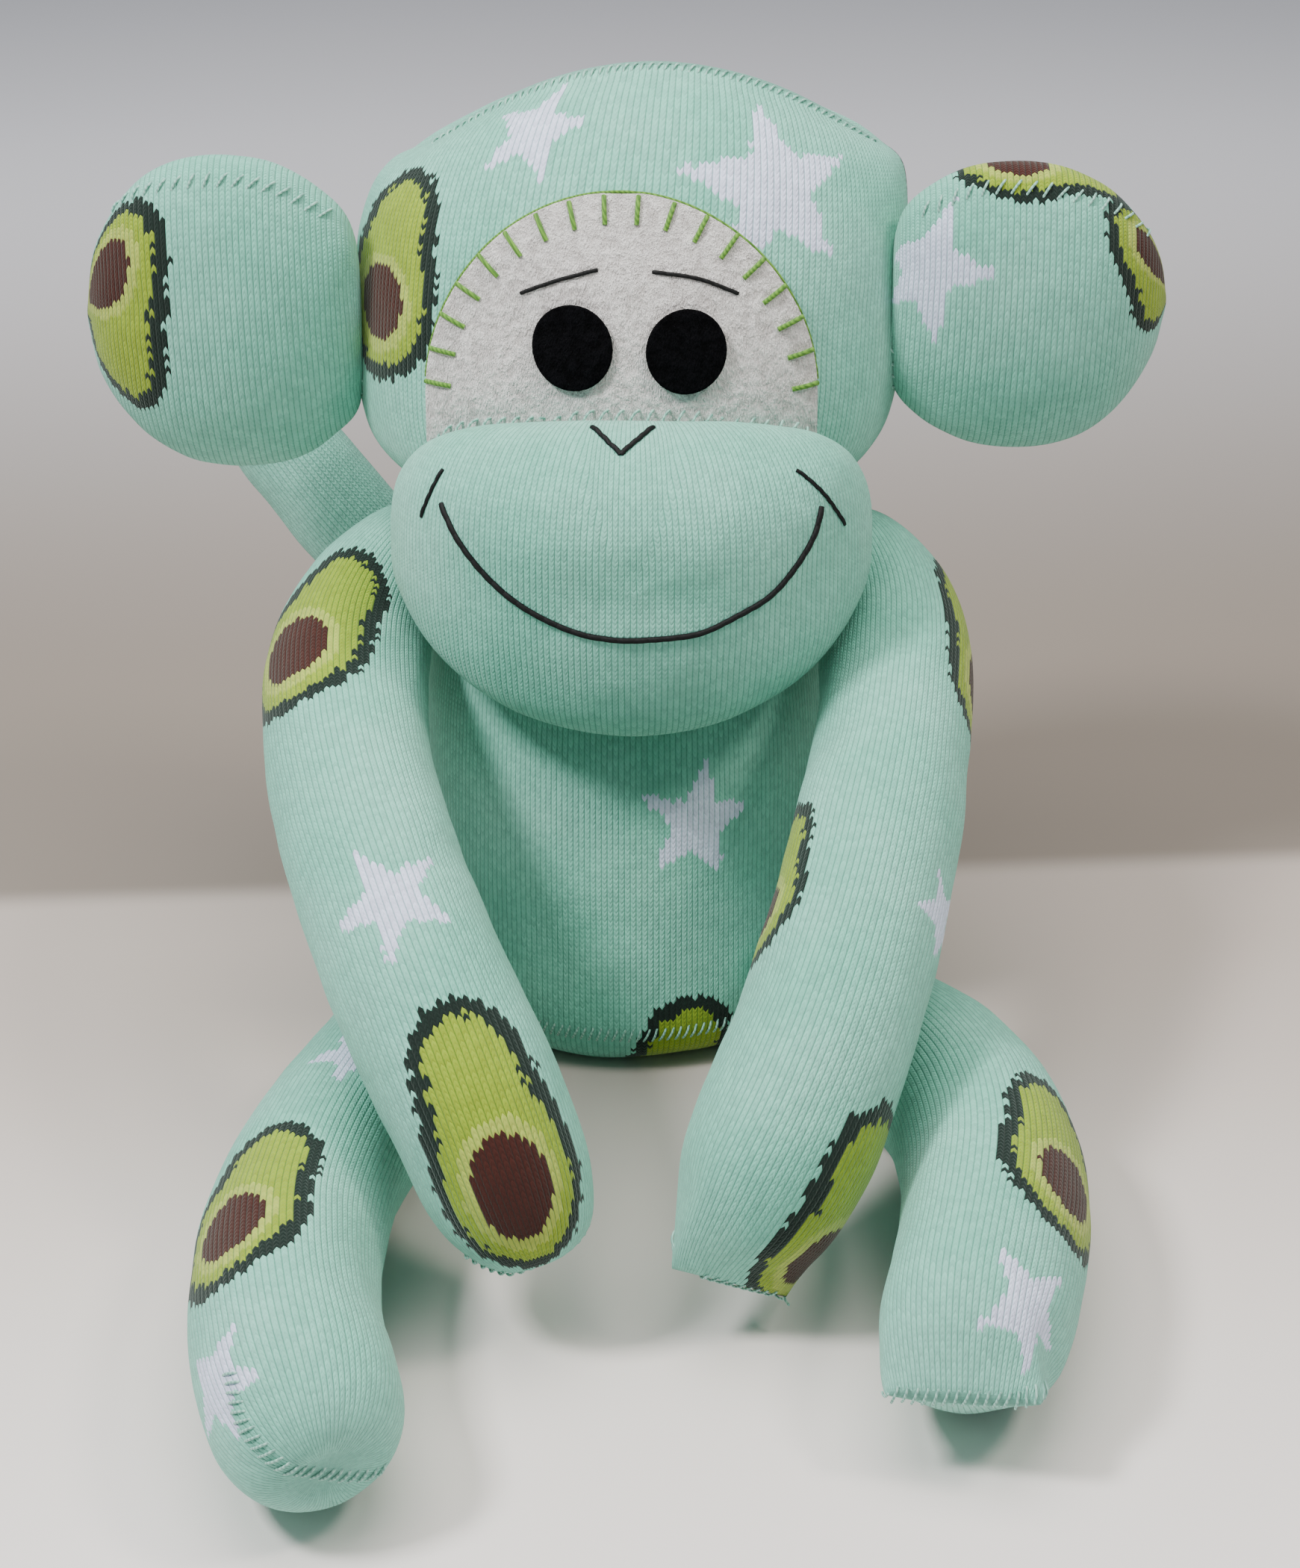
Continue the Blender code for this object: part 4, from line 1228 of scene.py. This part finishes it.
@dataclass
class Muzzle:
    """The stuffed muzzle, a flattened bowl of jersey sewn over the lower face."""

    sides: int = 84
    spacing: float = 2.4
    square: float = 0.62
    aside: float = 1.2
    swell: Point = (1.3, 0.8, 1.0)           # sideways, upwards and downwards
    ahead: Point = (0, 0.93, -0.37)          # the way in through its front
    bite: Point = (0, -0.5, 1.7)             # how far the rim's stitches reach up into the felt
    # half width, rise, fall, centre height, y at the top, side and bottom; from the rim to the front
    stations: tuple[tuple[float, ...], ...] = (
        (40, 23, 16, 110, -9, 4, -17), (44.5, 28.5, 21.5, 109.5, -14.5, -1.5, -22.5),
        (49.5, 31, 27.5, 108.5, -18.5, -6, -27), (50.5, 30.5, 33.5, 107.5, -27, -14, -31.5),
        (43, 24.5, 28.5, 107.5, -36.5, -29, -39.5), (22, 13, 15, 109.5, -42.8, -42, -43.8),
        (9, 5.5, 6, 110.5, -44.2, -44, -44.4), (1.5, 1, 1, 110.8, -44.4, -44.4, -44.4),
    )

    def cover(self) -> Cover:
        """Build the muzzle's skin.

        Returns:
            The cover, built and not yet stuffed.
        """
        rows = spaced_rows(eased([(s[4], s[1], s[2], s[0], s[3], s[5], s[6]) for s in self.stations]), self.spacing)
        turns = np.arange(self.sides) / self.sides * 2 * math.pi
        along, up = np.cos(turns), np.sin(turns)
        squared = up > 0.01
        top, rise, fall, half, middle, side, bottom = (rows[:, i, None] for i in range(7))
        y = side + (np.where(up > 0, top, bottom) - side) * up**2
        wide = np.where(squared, np.sign(along) * np.abs(along) ** self.square, along)
        tall = np.where(squared, np.abs(up) ** self.square, up)
        half, rise, fall = (slack(value, spare) for value, spare in zip((half, rise, fall), self.swell))
        x = half * wide + self.aside
        z = middle + np.where(up > 0, rise, fall) * tall
        made = Cover("muzzle_jersey", np.stack([x, np.broadcast_to(y, x.shape), z], axis=2),
                     grain=Grain.UPRIGHT, held_rows=(0, 1, 2), give=1.6, free_front=True, calm=60)
        made.build()
        return made

    def dress(self, made: Cover, shop: Shop, face: BVHTree) -> None:
        """Finish the muzzle, sew it on, and stitch the mouth, the cheeks and the nose.

        Args:
            made: The stuffed muzzle.
            shop: Finishes and tools.
            face: The surface of the head and its felt.
        """
        dress_cover(made, shop)
        hang(made.piece, "head", "mint_knit", "muzzle_cover")
        hang(made.fill("muzzle_fill", shop.fill), "head", "polyester_fill", "muzzle_stuffing")
        # along the top the stitches bite up into the felt
        rim = [(spot + Vector(self.bite) * MM * max(out.z, 0), out)
               for spot, out in joining_line(made, face, 1.0)]
        hang(shop.needle.sew("muzzle_whipstitch", rim, WHIP, shop.mint, True),
             "head", "mint_thread", "muzzle_seam")
        skin = surface(made.piece)
        lines = {
            "mouth_stitch": [(-35.9, -23, 122.5), (-32.1, -31, 117.8), (-27, -36, 112.9), (-21.9, -38.4, 108.9),
                             (-14.6, -39.7, 104.7), (-8.6, -40.5, 102.5), (-1, -41.3, 101.5), (7, -40.9, 101.6),
                             (15.1, -39.7, 102.4), (21.8, -38.3, 105.2), (28.6, -35.6, 108.6),
                             (33.4, -32.1, 113.1), (37, -26.7, 117.5), (38.7, -20, 121.5)],
            "right_cheek_stitch": [(-35.4, -15.5, 127.6), (-38, -18.5, 123.6), (-40.6, -21, 118.4)],
            "left_cheek_stitch": [(33.1, -14.7, 127), (38.7, -17, 122.8), (43.6, -18, 116.5)],
        }
        for node, guide in lines.items():
            style = BACKSTITCH if node == "mouth_stitch" else FINE_BACKSTITCH
            hang(shop.needle.sew(f"{node}_row", onto(dense(guide), skin, self.ahead), style, shop.black),
                 "head", "black_thread", node)
        nose = [((-6.4, -19, 137.4), (-0.5, -24.4, 133.4)), ((-0.9, -24.4, 133.4), (5.8, -19, 137.4))]
        rows = [shop.needle.sew(f"nose_{i}", onto(dense(list(pair), spacing=0.5), skin, self.ahead), NOSE_STITCH,
                                shop.black) for i, pair in enumerate(nose)]
        hang(joined("nose_stitch_v", rows), "head", "black_thread", "nose_stitch")


def joined(name: str, pieces: list[bpy.types.Object]) -> bpy.types.Object:
    """Join plain pieces of one finish into one.

    Args:
        name: The result's name.
        pieces: The pieces, which are used up.

    Returns:
        The joined object.
    """
    work = bmesh.new()
    for piece in pieces:
        work.from_mesh(piece.data)
    mesh = bpy.data.meshes.new(name)
    work.to_mesh(mesh)
    work.free()
    material = pieces[0].data.materials[0]
    for piece in pieces:
        bpy.data.objects.remove(piece)
    return new_piece(name, mesh, material)


@dataclass
class Face:
    """The felt face: an arched white patch with a blanket stitched edge, two round eyes and two brows."""

    middle: float = -0.8
    base: float = 138.3
    low: float = 128.5
    radius: float = 39.0
    height: float = 38.5
    felt: float = 1.3
    eye_radius: float = 8.0
    spokes: int = 17
    spoke: float = 6.0
    eyes: tuple[tuple[str, float, float], ...] = (("right_eye", -10.3, 150.0), ("left_eye", 12.1, 149.5))
    brows: tuple[tuple[str, tuple[Point, ...]], ...] = (
        ("right_brow", ((-21.4, -60, 159.2), (-13.5, -60, 162.3), (-4.8, -60, 164.8))),
        ("left_brow", ((4.8, -60, 164.4), (14.5, -60, 162.9), (23.2, -60, 159.5))),
    )

    def grid(self) -> np.ndarray:
        """Lay the patch out flat, as rows of points across it from its base to its top.

        Returns:
            Rows of x and height in mm.
        """
        rows = [(self.low, self.radius)]
        for turn in np.linspace(0, math.radians(84), 26):
            rows.append((self.base + self.height * math.sin(turn), self.radius * math.cos(turn)))
        shares = np.linspace(-1, 1, 44)
        return np.array([[(self.middle + half * s, z) for s in shares] for z, half in rows])

    def felt_sheet(self, name: str, flat: np.ndarray, under: BVHTree, lift: float,
                   felt: bpy.types.Material) -> tuple[bpy.types.Object, float, tuple[float, float]]:
        """Lay a piece of felt on the face.

        Args:
            name: Its name.
            flat: Rows of x and height in mm.
            under: What it lies on.
            lift: The air under it in mm.
            felt: Its finish.

        Returns:
            The felt, its area in square metres, and its width and length in metres along the surface.
        """
        rows, columns = flat.shape[:2]
        spots = [Vector((x * MM, -0.08, z * MM)) for line in flat for x, z in line]
        laid = [spot + out * lift * MM for spot, out in onto(spots, under, (0, 1, 0), 0.0)]
        faces = [(r * columns + c, r * columns + c + 1, (r + 1) * columns + c + 1, (r + 1) * columns + c)
                 for r in range(rows - 1) for c in range(columns - 1)]
        mesh = bpy.data.meshes.new(name)
        mesh.from_pydata(laid, [], faces)
        mesh.update()
        area = sum(face.area for face in mesh.polygons)
        grid = np.array(laid).reshape(rows, columns, 3)
        width = max(np.linalg.norm(np.diff(grid, axis=1), axis=2).sum(axis=1))
        length = np.linalg.norm(np.diff(grid[:, columns // 2], axis=0), axis=1).sum()
        piece = new_piece(name, mesh)
        wall = piece.modifiers.new("felt", "SOLIDIFY")
        wall.thickness, wall.offset = self.felt * MM, 1.0
        wall.use_even_offset = True
        edge = piece.modifiers.new("soft_edge", "BEVEL")
        edge.width, edge.segments, edge.limit_method = 0.35 * MM, 2, "ANGLE"
        edge.angle_limit = math.radians(50)
        return baked(piece, felt), area, (float(width), float(length))

    def dress(self, shop: Shop, head: BVHTree) -> bpy.types.Object:
        """Make the whole face.

        Args:
            shop: Finishes and tools.
            head: The surface of the head.

        Returns:
            The patch.
        """
        patch, area, size = self.felt_sheet("face_felt", self.grid(), head, 0.35, shop.white_felt)
        hang(patch, "head", "white_felt", "face_patch")
        skin = surface(patch)
        rings = np.linspace(0.02, 1.0, 8)
        for name, x, z in self.eyes:
            turns = np.linspace(0, 2 * math.pi, 37)
            disc = np.array([[(x + self.eye_radius * r * math.cos(t), z + self.eye_radius * r * math.sin(t))
                              for t in turns] for r in rings])
            self.eye(name, disc, skin, shop)
        for name, guide in self.brows:
            hang(shop.needle.sew(f"{name}_row", onto(dense(list(guide)), skin, (0, 1, 0)), FINE_BACKSTITCH,
                                 shop.black),
                 "head", "black_thread", name)
        self.blanket(shop, skin, head)
        return patch

    def eye(self, name: str, disc: np.ndarray, under: BVHTree, shop: Shop) -> None:
        """Lay one round felt eye on the patch.

        Args:
            name: The eye's CAD node.
            disc: Rings of x and height in mm, from its middle out; the last point of each is its first.
            under: The patch.
            shop: Finishes and tools.
        """
        rings, around = disc.shape[0], disc.shape[1] - 1
        spots = [Vector((x * MM, -0.08, z * MM)) for ring in disc for x, z in ring[:-1]]
        laid = [spot + out * 0.2 * MM for spot, out in onto(spots, under, (0, 1, 0), 0.0)]
        faces = [tuple(range(around))]
        faces += [(r * around + i, r * around + (i + 1) % around, (r + 1) * around + (i + 1) % around,
                   (r + 1) * around + i) for r in range(rings - 1) for i in range(around)]
        mesh = bpy.data.meshes.new(name)
        mesh.from_pydata(laid, [], faces)
        work = bmesh.new()
        work.from_mesh(mesh)
        bmesh.ops.recalc_face_normals(work, faces=work.faces)
        if sum(face.normal.y * face.calc_area() for face in work.faces) > 0:
            bmesh.ops.reverse_faces(work, faces=work.faces)
        work.to_mesh(mesh)
        work.free()
        piece = new_piece(f"{name}_felt", mesh)
        wall = piece.modifiers.new("felt", "SOLIDIFY")
        wall.thickness, wall.offset = self.felt * MM, 1.0
        edge = piece.modifiers.new("soft_edge", "BEVEL")
        edge.width, edge.segments, edge.limit_method = 0.45 * MM, 3, "ANGLE"
        edge.angle_limit = math.radians(50)
        piece = baked(piece, shop.black_felt)
        hang(piece, "head", "black_felt", name)

    def blanket(self, shop: Shop, skin: BVHTree, head: BVHTree) -> None:
        """Sew the blanket stitch round the patch: short spokes inwards, and a thread along the edge.

        Args:
            shop: Finishes and tools.
            skin: The patch.
            head: The surface of the head.
        """
        turns = np.linspace(math.radians(4), math.radians(176), 60)
        inner, outer = self.radius - self.spoke / 2 + 1.2, self.radius + 0.35
        lines = []
        for reach in (inner, outer):
            ratio = (self.height - (self.radius - reach)) / reach
            lines.append([(self.middle + reach * math.cos(t), -60, self.base + reach * ratio * math.sin(t))
                          for t in turns])
        length = sum(math.dist(a, b) for a, b in zip(lines[0], lines[0][1:]))
        step = length / self.spokes
        spokes = StitchStyle(spacing=step, length=self.spoke, radius=0.52, arch=0.4, dip=0.2, slant=90, sway=3)
        edge = StitchStyle(spacing=step / 2, length=step / 2 + 1.0, radius=0.36, arch=0.2, dip=0.1, sway=1)
        rows = [shop.needle.sew(f"blanket_{i}", onto(dense(line), under, (0, 1, 0), rise), style, shop.green)
                for i, (line, under, rise, style) in enumerate(
                    zip(lines, (skin, head), (0.15, 0.7), (spokes, edge)))]
        hang(joined("blanket_stitch", rows), "head", "green_thread", "patch_stitch")


@dataclass
class Ear:
    """One flat stuffed ear, sewn to the side of the head, with a whipped seam along its top."""

    name: str
    side: int
    height: float
    size: float
    droop: float
    sprigs: tuple[Sprig, ...]
    root: float = 55.0
    depth: float = 17.0
    sides: int = 64
    spacing: float = 2.3
    drawn_in: float = 0.96   # the share of its reach that the stuffed ear keeps
    seam_at: float = 0.84    # where the whipped seam lies, as a share of the half height
    swell_tall: float = 2.0
    swell_thick: float = 1.4
    # outwards from the root, half height, half thickness
    stations: tuple[tuple[float, float, float], ...] = (
        (0, 17, 3.5), (1.5, 22.5, 6), (5.8, 27, 8.5), (16.3, 34, 13), (32.3, 35.5, 14), (45.3, 31, 12.5),
        (54.3, 20, 7.5), (57.6, 9.5, 3.0), (58.2, 1.5, 0.6),
    )

    def sag(self, out: float | np.ndarray, tall: float | np.ndarray) -> float | np.ndarray:
        """Give how far the ear's upper edge hangs down.

        Args:
            out: The distance from the root in mm.
            tall: The ear's half height there in mm.

        Returns:
            The sag in mm, which grows towards the tip.
        """
        reach, tallest = self.stations[-1][0], max(tall for _, tall, _ in self.stations)
        return self.droop * out / reach * tall / tallest

    def cover(self) -> Cover:
        """Build the ear's skin.

        Returns:
            The cover, built and not yet stuffed.
        """
        rows = spaced_rows(eased([(out, tall, thick, 0.0) for out, tall, thick in self.stations]), self.spacing)
        turns = np.arange(self.sides) / self.sides * 2 * math.pi
        out = rows[:, 0, None]
        tall, thick = slack(rows[:, 1, None], self.swell_tall), slack(rows[:, 2, None], self.swell_thick)
        up = np.sin(turns)
        z = self.height + tall * self.size * up
        z = z - self.sag(out, tall) * np.clip(up, 0, 1)
        y = self.depth + thick * np.cos(turns)
        x = self.side * (self.root + out * self.drawn_in) + 0 * turns
        made = Cover(f"{self.name}_jersey", np.stack([x, y, z], axis=2), grain=Grain.AROUND,
                     held_rows=(0, 1), give=1.8, free_front=True, sprigs=self.sprigs)
        made.build()
        return made

    def dress(self, made: Cover, shop: Shop, head: BVHTree) -> None:
        """Finish the ear, sew it to the head and whip its top seam.

        Args:
            made: The ear's stuffed cover.
            shop: The shared finishes.
            head: The surface of the head.
        """
        dress_cover(made, shop)
        hang(made.piece, self.name, "mint_knit", f"{self.name}_cover")
        hang(made.fill(f"{self.name}_fill", shop.fill), self.name, "polyester_fill", f"{self.name}_stuffing")
        hang(shop.needle.sew(f"{self.name}_root_whip", joining_line(made, head), WHIP, shop.mint, True),
             "head", "mint_thread", f"{self.name}_root_stitch")
        skin = surface(made.piece)
        top = []
        for out, tall, _ in self.stations[2:-2]:
            height = self.height + tall * self.size * self.seam_at - self.sag(out, tall)
            top.append((self.side * (self.root + out), -30, height))
        hang(shop.needle.sew(f"{self.name}_top_whip", onto(dense(top), skin, (0, 1, 0)), WHIP, shop.mint),
             self.name, "mint_thread", f"{self.name}_seam")


class TipSeam(Enum):
    """How the end of a limb is closed."""

    ROUND = "round"
    FLAT = "flat"


@dataclass
class Limb:
    """A stuffed arm, leg or tail: a jersey tube along a bent path, gathered at its root."""

    name: str
    seam_node: str
    root_node: str
    # x, y, z, radius, and how much the section is flattened
    stations: tuple[tuple[float, ...], ...]
    wide: Point
    tip: TipSeam
    seam: tuple[Point, ...]
    sprigs: tuple[Sprig, ...]
    root: Point
    root_radius: float = 10.0
    neck: float = 101.0      # the height below which the root's thread stays
    sides: int = 44
    spacing: float = 2.5
    give: float = 2.1
    least_join: float = 0.7  # the share of the columns that has to cross the torso for a sewn line

    def cover(self) -> Cover:
        """Build the limb's skin.

        Returns:
            The cover, built and not yet stuffed.
        """
        rows = spaced_rows(eased(list(self.stations)), self.spacing)
        middles = rows[:, :3]
        ways = np.gradient(middles, axis=0)
        for _ in range(3):
            ways[1:-1] = (ways[:-2] + 2 * ways[1:-1] + ways[2:]) / 4
        ways[:3], ways[-3:] = ways[3], ways[-4]
        ways /= np.linalg.norm(ways, axis=1)[:, None]
        across = np.array(self.wide, float)[None] - ways * (ways @ np.array(self.wide, float))[:, None]
        across /= np.linalg.norm(across, axis=1)[:, None]
        up = np.cross(ways, across)
        turns = np.arange(self.sides) / self.sides * 2 * math.pi
        radius, flat = slack(rows[:, 3], self.give), rows[:, 4]
        rings = (middles[:, None] + across[:, None] * (radius[:, None] * np.cos(turns))[:, :, None]
                 + up[:, None] * (radius[:, None] * flat[:, None] * np.sin(turns))[:, :, None])
        made = Cover(f"{self.name}_jersey", rings, zipped=self.tip is TipSeam.FLAT,
                     held_rows=(0, 1, 2, -1, -2), give=self.give, sprigs=self.sprigs)
        made.build()
        return made

    def dress(self, made: Cover, shop: Shop, torso: BVHTree) -> None:
        """Finish the limb, sew its end and sew it to the torso.

        Args:
            made: The limb's stuffed cover.
            shop: The shared finishes.
            torso: The surface of the torso.
        """
        dress_cover(made, shop)
        hang(made.piece, self.name, "mint_knit", f"{self.name}_cover")
        hang(made.fill(f"{self.name}_fill", shop.fill), self.name, "polyester_fill", f"{self.name}_stuffing")
        skin = surface(made.piece)
        hang(shop.needle.sew(f"{self.seam_node}_row", onto(dense(list(self.seam)), skin), OVERLOCK, shop.mint),
             self.name, "mint_thread", self.seam_node)
        line = joining_line(made, torso)
        if len(line) < self.sides * self.least_join:
            first, second = (Vector(self.stations[i][:3]) for i in (1, 2))
            way = (second - first).normalized()
            aside = way.orthogonal().normalized()
            beside = way.cross(aside)
            centre = Vector(self.root)
            ring = [tuple(centre + (aside * math.cos(t) + beside * math.sin(t)) * self.root_radius)
                    for t in np.linspace(0, 2 * math.pi, 30)[:-1]]
            line = onto(dense(ring, closed=True), torso)
        # the thread stays on the torso, below the neck, where the arm also meets the head
        low = [Vector((spot.x, spot.y, min(spot.z, self.neck * MM))) for spot, _ in line]
        line = [kept if kept[0].z <= spot.z else laid
                for kept, laid, spot in zip(line, onto(low, torso, lift=0.2), low)]
        hang(shop.needle.sew(f"{self.root_node}_row", line, LADDER, shop.mint, True),
             "torso", "mint_thread", self.root_node)


def toy_ears() -> list[Ear]:
    """Give the two ears."""
    return [
        Ear("left_ear", 1, 151.5, 0.93, 5.5, (
            Sprig(Picture.AVOCADO, (86, 17, 183.5), 40, 95), Sprig(Picture.AVOCADO, (109, 11, 158), 44, 12),
            Sprig(Picture.STAR, (60.5, 9, 160.5), 30, 12))),
        Ear("right_ear", -1, 149.0, 0.98, 0.0, (
            Sprig(Picture.AVOCADO, (-106.5, 9, 153), 52, -8), Sprig(Picture.STAR, (-75, 30, 140), 26, 0))),
    ]


def toy_limbs() -> list[Limb]:
    """Give the two arms, the two legs and the tail."""
    return [
        Limb("right_arm", "right_hand_seam", "right_shoulder_stitch", (
            (-39.5, 21.8, 102, 1, 1), (-40.5, 21, 101.5, 6.5, 1), (-43.5, 17, 99.5, 12, 1),
            (-50.5, 8, 95, 14.5, 1), (-56.6, -6, 87, 17.8, 1), (-56.8, -26, 78, 18.9, 1), (-51, -55, 69, 18.8, 1),
            (-39, -89, 58, 18.8, 1), (-26.5, -113, 43.5, 18.5, 1), (-19.5, -123.5, 30.5, 17.5, 1),
            (-16.5, -127.8, 21.5, 12.5, 0.95), (-15.8, -128.8, 18.6, 6.5, 0.9), (-15.6, -129, 18.2, 1, 0.9)),
            wide=(1, 0, 0.1), tip=TipSeam.ROUND,
            seam=((-27, -131, 22), (-21, -134, 18.5), (-15, -133, 16.5), (-9, -129, 18), (-5, -125, 21)),
            sprigs=(Sprig(Picture.AVOCADO, (-62, -20, 97), 50, 205), Sprig(Picture.STAR, (-41, -92.7, 76), 26, 20),
                    Sprig(Picture.AVOCADO, (-22.5, -130, 47), 50, 180)),
            root=(-38, 21, 97)),
        Limb("left_arm", "left_hand_seam", "left_shoulder_stitch", (
            (39.5, 21.8, 102, 1, 1), (40.5, 21, 101.5, 6.5, 1), (43.5, 17, 99.5, 12, 1), (50.5, 8, 95, 14.5, 1),
            (56, -6, 87, 17, 1), (53.8, -26, 76.5, 17.8, 1), (48.5, -54, 66, 18.5, 1), (41, -84, 53.5, 19, 1),
            (31.5, -109, 40, 19.5, 1), (25.5, -119.5, 28.5, 19.3, 0.92), (21.5, -125.5, 18.5, 16.2, 0.62),
            (19.5, -129, 12.5, 14.2, 0.14)),
            wide=(0.7, 0, -0.72), tip=TipSeam.FLAT,
            seam=((10, -128.5, 22), (14, -129, 18), (19.5, -129.5, 12.5), (25, -128.5, 7.5), (28.5, -126, 4)),
            sprigs=(Sprig(Picture.AVOCADO, (26.5, -72, 62), 44, 190), Sprig(Picture.AVOCADO, (72, -14, 86), 46, 160),
                    Sprig(Picture.AVOCADO, (41, -128, 22), 52, 165), Sprig(Picture.STAR, (60, -80, 59), 20, 0)),
            root=(38, 21, 97)),
        Limb("right_leg", "right_toe_seam", "right_hip_stitch", (
            (-29, -31.5, 18.5, 1, 1), (-31, -34.5, 18.5, 8, 1), (-33.5, -39, 18.5, 12.5, 1),
            (-38.5, -48, 18.5, 16.5, 1), (-47, -71, 19, 18.5, 1), (-56.5, -101, 19.5, 19.3, 1),
            (-60, -131, 19.5, 19.5, 1), (-56, -158, 19.5, 19.8, 1), (-51.5, -173, 19, 18.6, 0.98),
            (-49, -181, 18.2, 13.6, 0.96), (-48.2, -183.4, 17.8, 7, 0.95), (-48, -183.8, 17.7, 1, 0.95)),
            wide=(1, 0, 0), tip=TipSeam.ROUND,
            seam=((-66, -176, 33), (-62.5, -181, 28), (-57, -184, 23.5), (-50, -185.5, 18.5),
                  (-43, -184.5, 14.5), (-37, -181, 12)),
            sprigs=(Sprig(Picture.AVOCADO, (-68, -131, 37), 44, 200), Sprig(Picture.STAR, (-66, -172, 28), 22, 10),
                    Sprig(Picture.STAR, (-50, -90, 38), 20, 0)),
            root=(-34, -40, 18.5), root_radius=13),
        Limb("left_leg", "left_toe_seam", "left_hip_stitch", (
            (29, -31, 18.5, 1, 1), (31, -34, 18.5, 8, 1), (33.5, -38.5, 18.5, 12.5, 1), (39.5, -48, 18.5, 16.5, 1),
            (54.5, -62, 19, 18.5, 1), (66.5, -84, 19.5, 19.5, 1), (68.5, -113, 19.8, 19.8, 1),
            (63, -140, 19.8, 19.8, 1), (60, -153, 19.4, 19.2, 0.9), (58.4, -162, 18.6, 16.8, 0.55),
            (57.8, -166.6, 18, 15.2, 0.12)),
            wide=(1, 0, 0.08), tip=TipSeam.FLAT,
            seam=((42.5, -166, 17), (48, -167, 17.5), (54, -167.4, 18), (62, -167.4, 18.6), (68, -167, 19),
                  (73, -165.5, 19.3)),
            sprigs=(Sprig(Picture.AVOCADO, (80, -116, 33), 44, 172), Sprig(Picture.STAR, (70, -158, 30), 24, -10),
                    Sprig(Picture.STAR, (50, -70, 36), 18, 0)),
            root=(34, -40, 18.5), root_radius=13),
        Limb("tail", "tail_tip_seam", "tail_root_stitch", (
            (-0.5, 42, 20, 1, 1), (-1, 46, 20.5, 7.5, 1), (-2, 50, 21, 10.5, 1), (-5, 57, 23, 12.5, 1),
            (-22, 62, 33, 13.5, 1), (-42, 60, 57, 14, 1), (-62, 60, 84, 14, 1), (-82, 64, 108, 13.5, 1),
            (-93, 67, 130, 12.5, 1), (-96, 68, 146, 9, 1), (-96.4, 68, 151.6, 5, 1), (-96.5, 68, 153, 1, 1)),
            wide=(0, 1, 0), tip=TipSeam.ROUND,
            seam=((-96.5, 57, 146), (-96.5, 61, 151), (-96.5, 68, 155), (-96.5, 75, 151), (-96.5, 79, 146)),
            sprigs=(Sprig(Picture.AVOCADO, (-60, 74, 84), 40, 20), Sprig(Picture.STAR, (-88, 52, 112), 18, 0),
                    Sprig(Picture.STAR, (-36, 46, 50), 18, 0)),
            root=(-1, 42, 20), sides=40, give=1.6),
    ]


# ---------------------------------------------------------------- the studio


@dataclass
class Studio:
    """A pale paper floor, soft light from above, and the camera."""

    camera_at: Point = (5.0, -505.6, 316.2)
    pitch: float = 62.0
    lens: float = 59.67
    paper: PaperFinish = PaperFinish()

    def build(self) -> None:
        """Make the set, the lights and the camera."""
        wide = 3000.0
        mesh = bpy.data.meshes.new("floor")
        corners = ((-wide, -wide), (wide, -wide), (wide, wide), (-wide, wide))
        mesh.from_pydata([(x * MM, y * MM, 0) for x, y in corners], [], [(0, 1, 2, 3)])
        new_piece("floor", mesh, self.paper.make())
        for name, at, aim, size, watts, tint in (
            ("window", (-520, -250, 820), (0, -40, 60), 0.17, 8.8, "FFFFFF"),
            ("lamp", (560, -160, 820), (0, -40, 60), 0.17, 3.4, "FFF8EE"),
            ("ceiling", (0, 20, 1000), (0, 0, 60), 0.8, 9.4, "FFFDF8"),
        ):
            lamp = bpy.data.lights.new(name, "AREA")
            lamp.shape, lamp.size, lamp.energy = "SQUARE", size, watts
            lamp.color = linear(tint)[:3]
            holder = bpy.data.objects.new(name, lamp)
            holder.location = Vector(at) * MM
            holder.rotation_euler = (Vector(aim) - Vector(at)).to_track_quat("-Z", "Y").to_euler()
            bpy.context.scene.collection.objects.link(holder)
        world = bpy.data.worlds.new("room")
        world.use_nodes = True
        world.node_tree.nodes.clear()
        sky = put(world.node_tree, "ShaderNodeBackground", {"Color": linear("DCE6F2"), "Strength": 0.24})
        put(world.node_tree, "ShaderNodeOutputWorld", {0: sky})
        bpy.context.scene.world = world
        data = bpy.data.cameras.new("camera")
        data.sensor_fit, data.sensor_height, data.lens = "VERTICAL", 36.0, self.lens
        data.clip_start, data.clip_end = 0.01, 20
        camera = bpy.data.objects.new("camera", data)
        camera.location = Vector(self.camera_at) * MM
        camera.rotation_euler = (math.radians(self.pitch), 0, 0)
        bpy.context.scene.collection.objects.link(camera)
        bpy.context.scene.camera = camera


def main() -> None:
    """Build the toy and its set, in order."""
    logging.basicConfig(level=logging.INFO, format="%(message)s")
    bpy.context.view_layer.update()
    Studio().build()
    shop = open_shop()
    body, muzzle, face = Body(), Muzzle(), Face()
    ears, limbs = toy_ears(), toy_limbs()
    covers = {"body": body.cover(), "muzzle": muzzle.cover()}
    covers.update((part.name, part.cover()) for part in ears + limbs)
    stuff(list(covers.values()))
    body.dress(covers["body"], shop)
    skin = surface(covers["body"].piece)
    patch = face.dress(shop, skin)
    muzzle.dress(covers["muzzle"], shop, surface(covers["body"].piece, patch))
    for part in ears + limbs:
        part.dress(covers[part.name], shop, skin)


if __name__ == "__main__":
    main()
